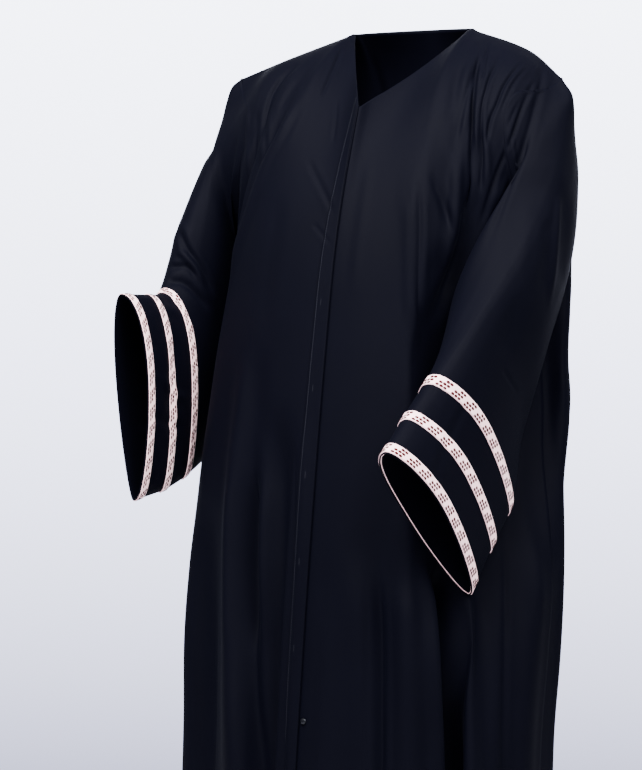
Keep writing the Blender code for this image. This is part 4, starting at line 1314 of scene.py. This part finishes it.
# ---- Press stud ----
# The cap of the one stud that shows is a small round of brushed steel, riveted through the left
# front beside the band. Its solid is kept and gets the metal.
STEEL_DARK = (0.012, 0.0125, 0.015)
STEEL_LIGHT = (0.026, 0.027, 0.031)
STEEL_GRAIN = 2500.0


def mottled(name, scale, dark, light):
    """A material that wanders between two tones; its tree, shader, place and noise come along."""
    material, tree, shader = new_material(name)
    place = node(tree, "ShaderNodeTexCoord")
    noise = node(tree, "ShaderNodeTexNoise", {"Scale": scale})
    tint = node(tree, "ShaderNodeValToRGB")
    for element, tone in zip(tint.color_ramp.elements, (dark, light)):
        element.color = (*tone, 1.0)
    join(tree,
         (place, "Object", noise, "Vector"),
         (noise, "Fac", tint, "Fac"),
         (tint, "Color", shader, "Base Color"))
    return material, tree, shader, place, noise


steel, tree, shader, place, brushed = mottled("stud steel", STEEL_GRAIN, STEEL_DARK, STEEL_LIGHT)
set_inputs(shader, {"Metallic": 1.0})
steel_rough = node(tree, "ShaderNodeMapRange", {"To Min": 0.22, "To Max": 0.38})
join(tree, (brushed, "Fac", steel_rough, "Value"), (steel_rough, "Result", shader, "Roughness"))
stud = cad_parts["press_stud"]
for k in range(len(stud.material_slots)):
    stud.material_slots[k].material = steel


# ---- Stitching ----
# Lockstitch in spun thread: a lighter grey row down the placket with short bars across it, pale
# rows along both edges of every ribbon, and a row in the crepe's colour above the hem.
THREAD = Pad(0.0022, 0.0005, 0.0004, 0.10)
THREAD_TONES = {
    "grey thread": ((0.0150, 0.0155, 0.0210), (0.0240, 0.0250, 0.0320)),
    "bar thread": ((0.0060, 0.0063, 0.0090), (0.0095, 0.0099, 0.0135)),
    "dark thread": ((0.0012, 0.0013, 0.0026), (0.0018, 0.0020, 0.0036)),
    "pale thread": ((0.52, 0.34, 0.35), (0.66, 0.45, 0.46)),
}
THREAD_ROUGHNESS = 0.6
THREAD_YARNS = 4000.0
THREAD_RELIEF = 0.0001
STITCH_PITCH = 0.0029
STITCH_AHEAD = 0.001
STITCH_FROM_EDGE = 0.0015
HEM_STITCH_UP = 0.024
BAND_STITCH_IN = 0.0022

threads = {name: woven(name, dark, light, THREAD_ROUGHNESS, THREAD_YARNS, THREAD_RELIEF)
           for name, (dark, light) in THREAD_TONES.items()}


def stitch_row(grid, out_of_grid, keys, place_of_row, lift):
    """Stitches at an even pitch along a grid's line at one place, lying on the cloth."""
    line, normals = row_at(grid, keys, place_of_row), row_at(out_of_grid, keys, place_of_row)
    lengths = running(np.linalg.norm(np.diff(line, axis=0), axis=1))
    spots = []
    for k in range(int(lengths[-1] / STITCH_PITCH)):
        at = (k + 0.5) * STITCH_PITCH
        place = read_at(line, lengths, at)
        ahead = read_at(line, lengths, at + STITCH_AHEAD)
        out = unit(read_at(normals, lengths, at))
        spots.append(Spot(place + out * lift, unit(ahead - place + out * TINY), out))
    return spots


band_wide = measured(band_cloth)[0]
band_out = grid_normals(band_points)
topstitch = stitch_row(band_points, band_out, band_wide, band_wide[-1] - BAND_STITCH_IN,
                       BAND_WALL / 2)
lay_pads("placket_topstitch", topstitch, THREAD, threads["grey thread"], roundness=1,
         seed=11)

# Bars of close stitches hold the layers together at the hidden fastenings.
BAR = Pad(0.0017, 0.0006, 0.0004, 0.12)
BAR_HEIGHTS = (-0.335, -0.434, -0.533, -0.632, -0.731)
BAR_ROWS = 9
BAR_STEP = 0.0008
BAR_ACROSS = 0.60
bar_line = row_at(band_points, band_wide, band_wide[-1] * BAR_ACROSS)
bar_normals = row_at(band_out, band_wide, band_wide[-1] * BAR_ACROSS)
bar_spots = []
for height in BAR_HEIGHTS:
    for k in range(BAR_ROWS):
        below_neck = k * BAR_STEP - height
        place = read_at(bar_line, -bar_line[:, 2], below_neck)
        out = unit(read_at(bar_normals, -bar_line[:, 2], below_neck))
        aim = unit(np.cross(out, (0.0, 0.0, 1.0)))
        bar_spots.append(Spot(place + out * BAND_WALL / 2, aim, out))
lay_pads("placket_bars", bar_spots, BAR, threads["bar thread"], roundness=1, seed=12)

ribbon_spots = []
for ring, ring_out, long in stitched_edges:
    for at in (STITCH_FROM_EDGE, long[-1] - STITCH_FROM_EDGE):
        ribbon_spots += stitch_row(ring.transpose(1, 0, 2), ring_out.transpose(1, 0, 2), long, at,
                                   RIBBON_WALL / 2)
lay_pads("ribbon_stitching", ribbon_spots, THREAD, threads["pale thread"], roundness=1,
         seed=13)

hem_spots = []
for cloth, outwards in ((front_cloths[1], -1), (front_cloths[-1], 1), (back_cloth, 1)):
    out = outwards * grid_normals(cloth.points)
    long = measured(cloth)[1]
    hem_spots += stitch_row(cloth.points.transpose(1, 0, 2), out.transpose(1, 0, 2), long,
                            long[-1] - HEM_STITCH_UP, WALL / 2)
lay_pads("hem_stitching", hem_spots, THREAD, threads["dark thread"], roundness=1, seed=14)


# ---- Floor and light ----
# A plain pale floor just under the hem, a large soft light from the picture's left and front, a
# weaker one from its right, a faint one from behind, and a bright pale backdrop in a dimmer room.
FLOOR_BELOW = 0.012
FLOOR_HALF = 4.0
FLOOR_DARK = (0.70, 0.69, 0.75)
FLOOR_LIGHT = (0.76, 0.75, 0.80)
FLOOR_PATCHES = 2.0
FLOOR_FULL = 1.2
FLOOR_GONE = 3.2
SURROUND_STRENGTH = 8.0
SURROUND_TONES = (
    (0.20, (0.07, 0.07, 0.09)),
    (0.42, (0.14, 0.144, 0.20)),
    (0.50, (0.46, 0.475, 0.61)),
    (0.60, (0.84, 0.88, 1.03)),
    (0.72, (0.40, 0.40, 0.42)),
    (0.98, (0.20, 0.20, 0.22)),
)
BACKDROP_FULL = 0.965
BACKDROP_GONE = 0.85
ROOM_SHARE = 0.22

floor_mesh = bpy.data.meshes.new("floor")
corners = [(x * FLOOR_HALF, y * FLOOR_HALF, HEM_Z - FLOOR_BELOW)
           for x, y in ((-1, -1), (1, -1), (1, 1), (-1, 1))]
floor_mesh.from_pydata(corners, [], [(0, 1, 2, 3)])
floor = put("floor", floor_mesh)
floor_paint, tree, shader, place = mottled("pale floor", FLOOR_PATCHES, FLOOR_DARK,
                                           FLOOR_LIGHT)[:4]
set_inputs(shader, {"Roughness": 0.8})
on_floor = node(tree, "ShaderNodeVectorMath", {1: (1.0, 1.0, 0.0)}, operation="MULTIPLY")
from_middle = node(tree, "ShaderNodeVectorMath", operation="LENGTH")
fading = node(tree, "ShaderNodeMapRange", {"From Min": FLOOR_FULL, "From Max": FLOOR_GONE,
                                           "To Min": 1.0, "To Max": 0.0},
              interpolation_type="SMOOTHSTEP")
join(tree,
     (place, "Object", on_floor, 0),
     (on_floor, "Vector", from_middle, 0),
     (from_middle, "Value", fading, "Value"),
     (fading, "Result", shader, "Alpha"))
floor_mesh.materials.append(floor_paint)

Lamp = namedtuple("Lamp", "name aside ahead above size power")
LAMPS = (
    Lamp("key", -0.85, 1.35, 1.40, 1.5, 345.0),
    Lamp("fill", 0.85, 1.60, 1.25, 1.6, 200.0),
    Lamp("rim", 1.4, -1.8, 1.4, 1.2, 12.0),
)
LAMPS_AIM = Vector((0.0, 0.0, -0.45))
for lamp in LAMPS:
    light = bpy.data.lights.new(lamp.name, "AREA")
    light.shape = "DISK"
    light.size = lamp.size
    light.energy = lamp.power
    holder = put(lamp.name, light)
    spot = level * lamp.aside + towards_eye * lamp.ahead + upright * lamp.above
    holder.location = spot
    holder.rotation_euler = (spot - LAMPS_AIM).to_track_quat("Z", "Y").to_euler()

surround = bpy.data.worlds.new("pale surround")
bpy.context.scene.world = surround
surround.use_nodes = True
tree = surround.node_tree
background = tree.nodes["Background"]
place = node(tree, "ShaderNodeTexCoord")
parts_of = node(tree, "ShaderNodeSeparateXYZ")
height = node(tree, "ShaderNodeMapRange", {"From Min": -1.0})
tones = node(tree, "ShaderNodeValToRGB")
for position, tone in SURROUND_TONES:
    tones.color_ramp.elements.new(position).color = (*tone, 1.0)
for end in (0, -1):
    tones.color_ramp.elements[end].color = (*SURROUND_TONES[end][1], 1.0)
behind = node(tree, "ShaderNodeVectorMath", {1: -towards_eye}, operation="DOT_PRODUCT")
backdrop = node(tree, "ShaderNodeMapRange", {"From Min": BACKDROP_GONE, "From Max": BACKDROP_FULL,
                                             "To Min": SURROUND_STRENGTH * ROOM_SHARE,
                                             "To Max": SURROUND_STRENGTH},
                interpolation_type="SMOOTHSTEP")
join(tree,
     (place, "Generated", parts_of, "Vector"),
     (parts_of, "Z", height, "Value"),
     (height, "Result", tones, "Fac"),
     (tones, "Color", background, "Color"),
     (place, "Generated", behind, 0),
     (behind, "Value", backdrop, "Value"),
     (backdrop, "Result", background, "Strength"))
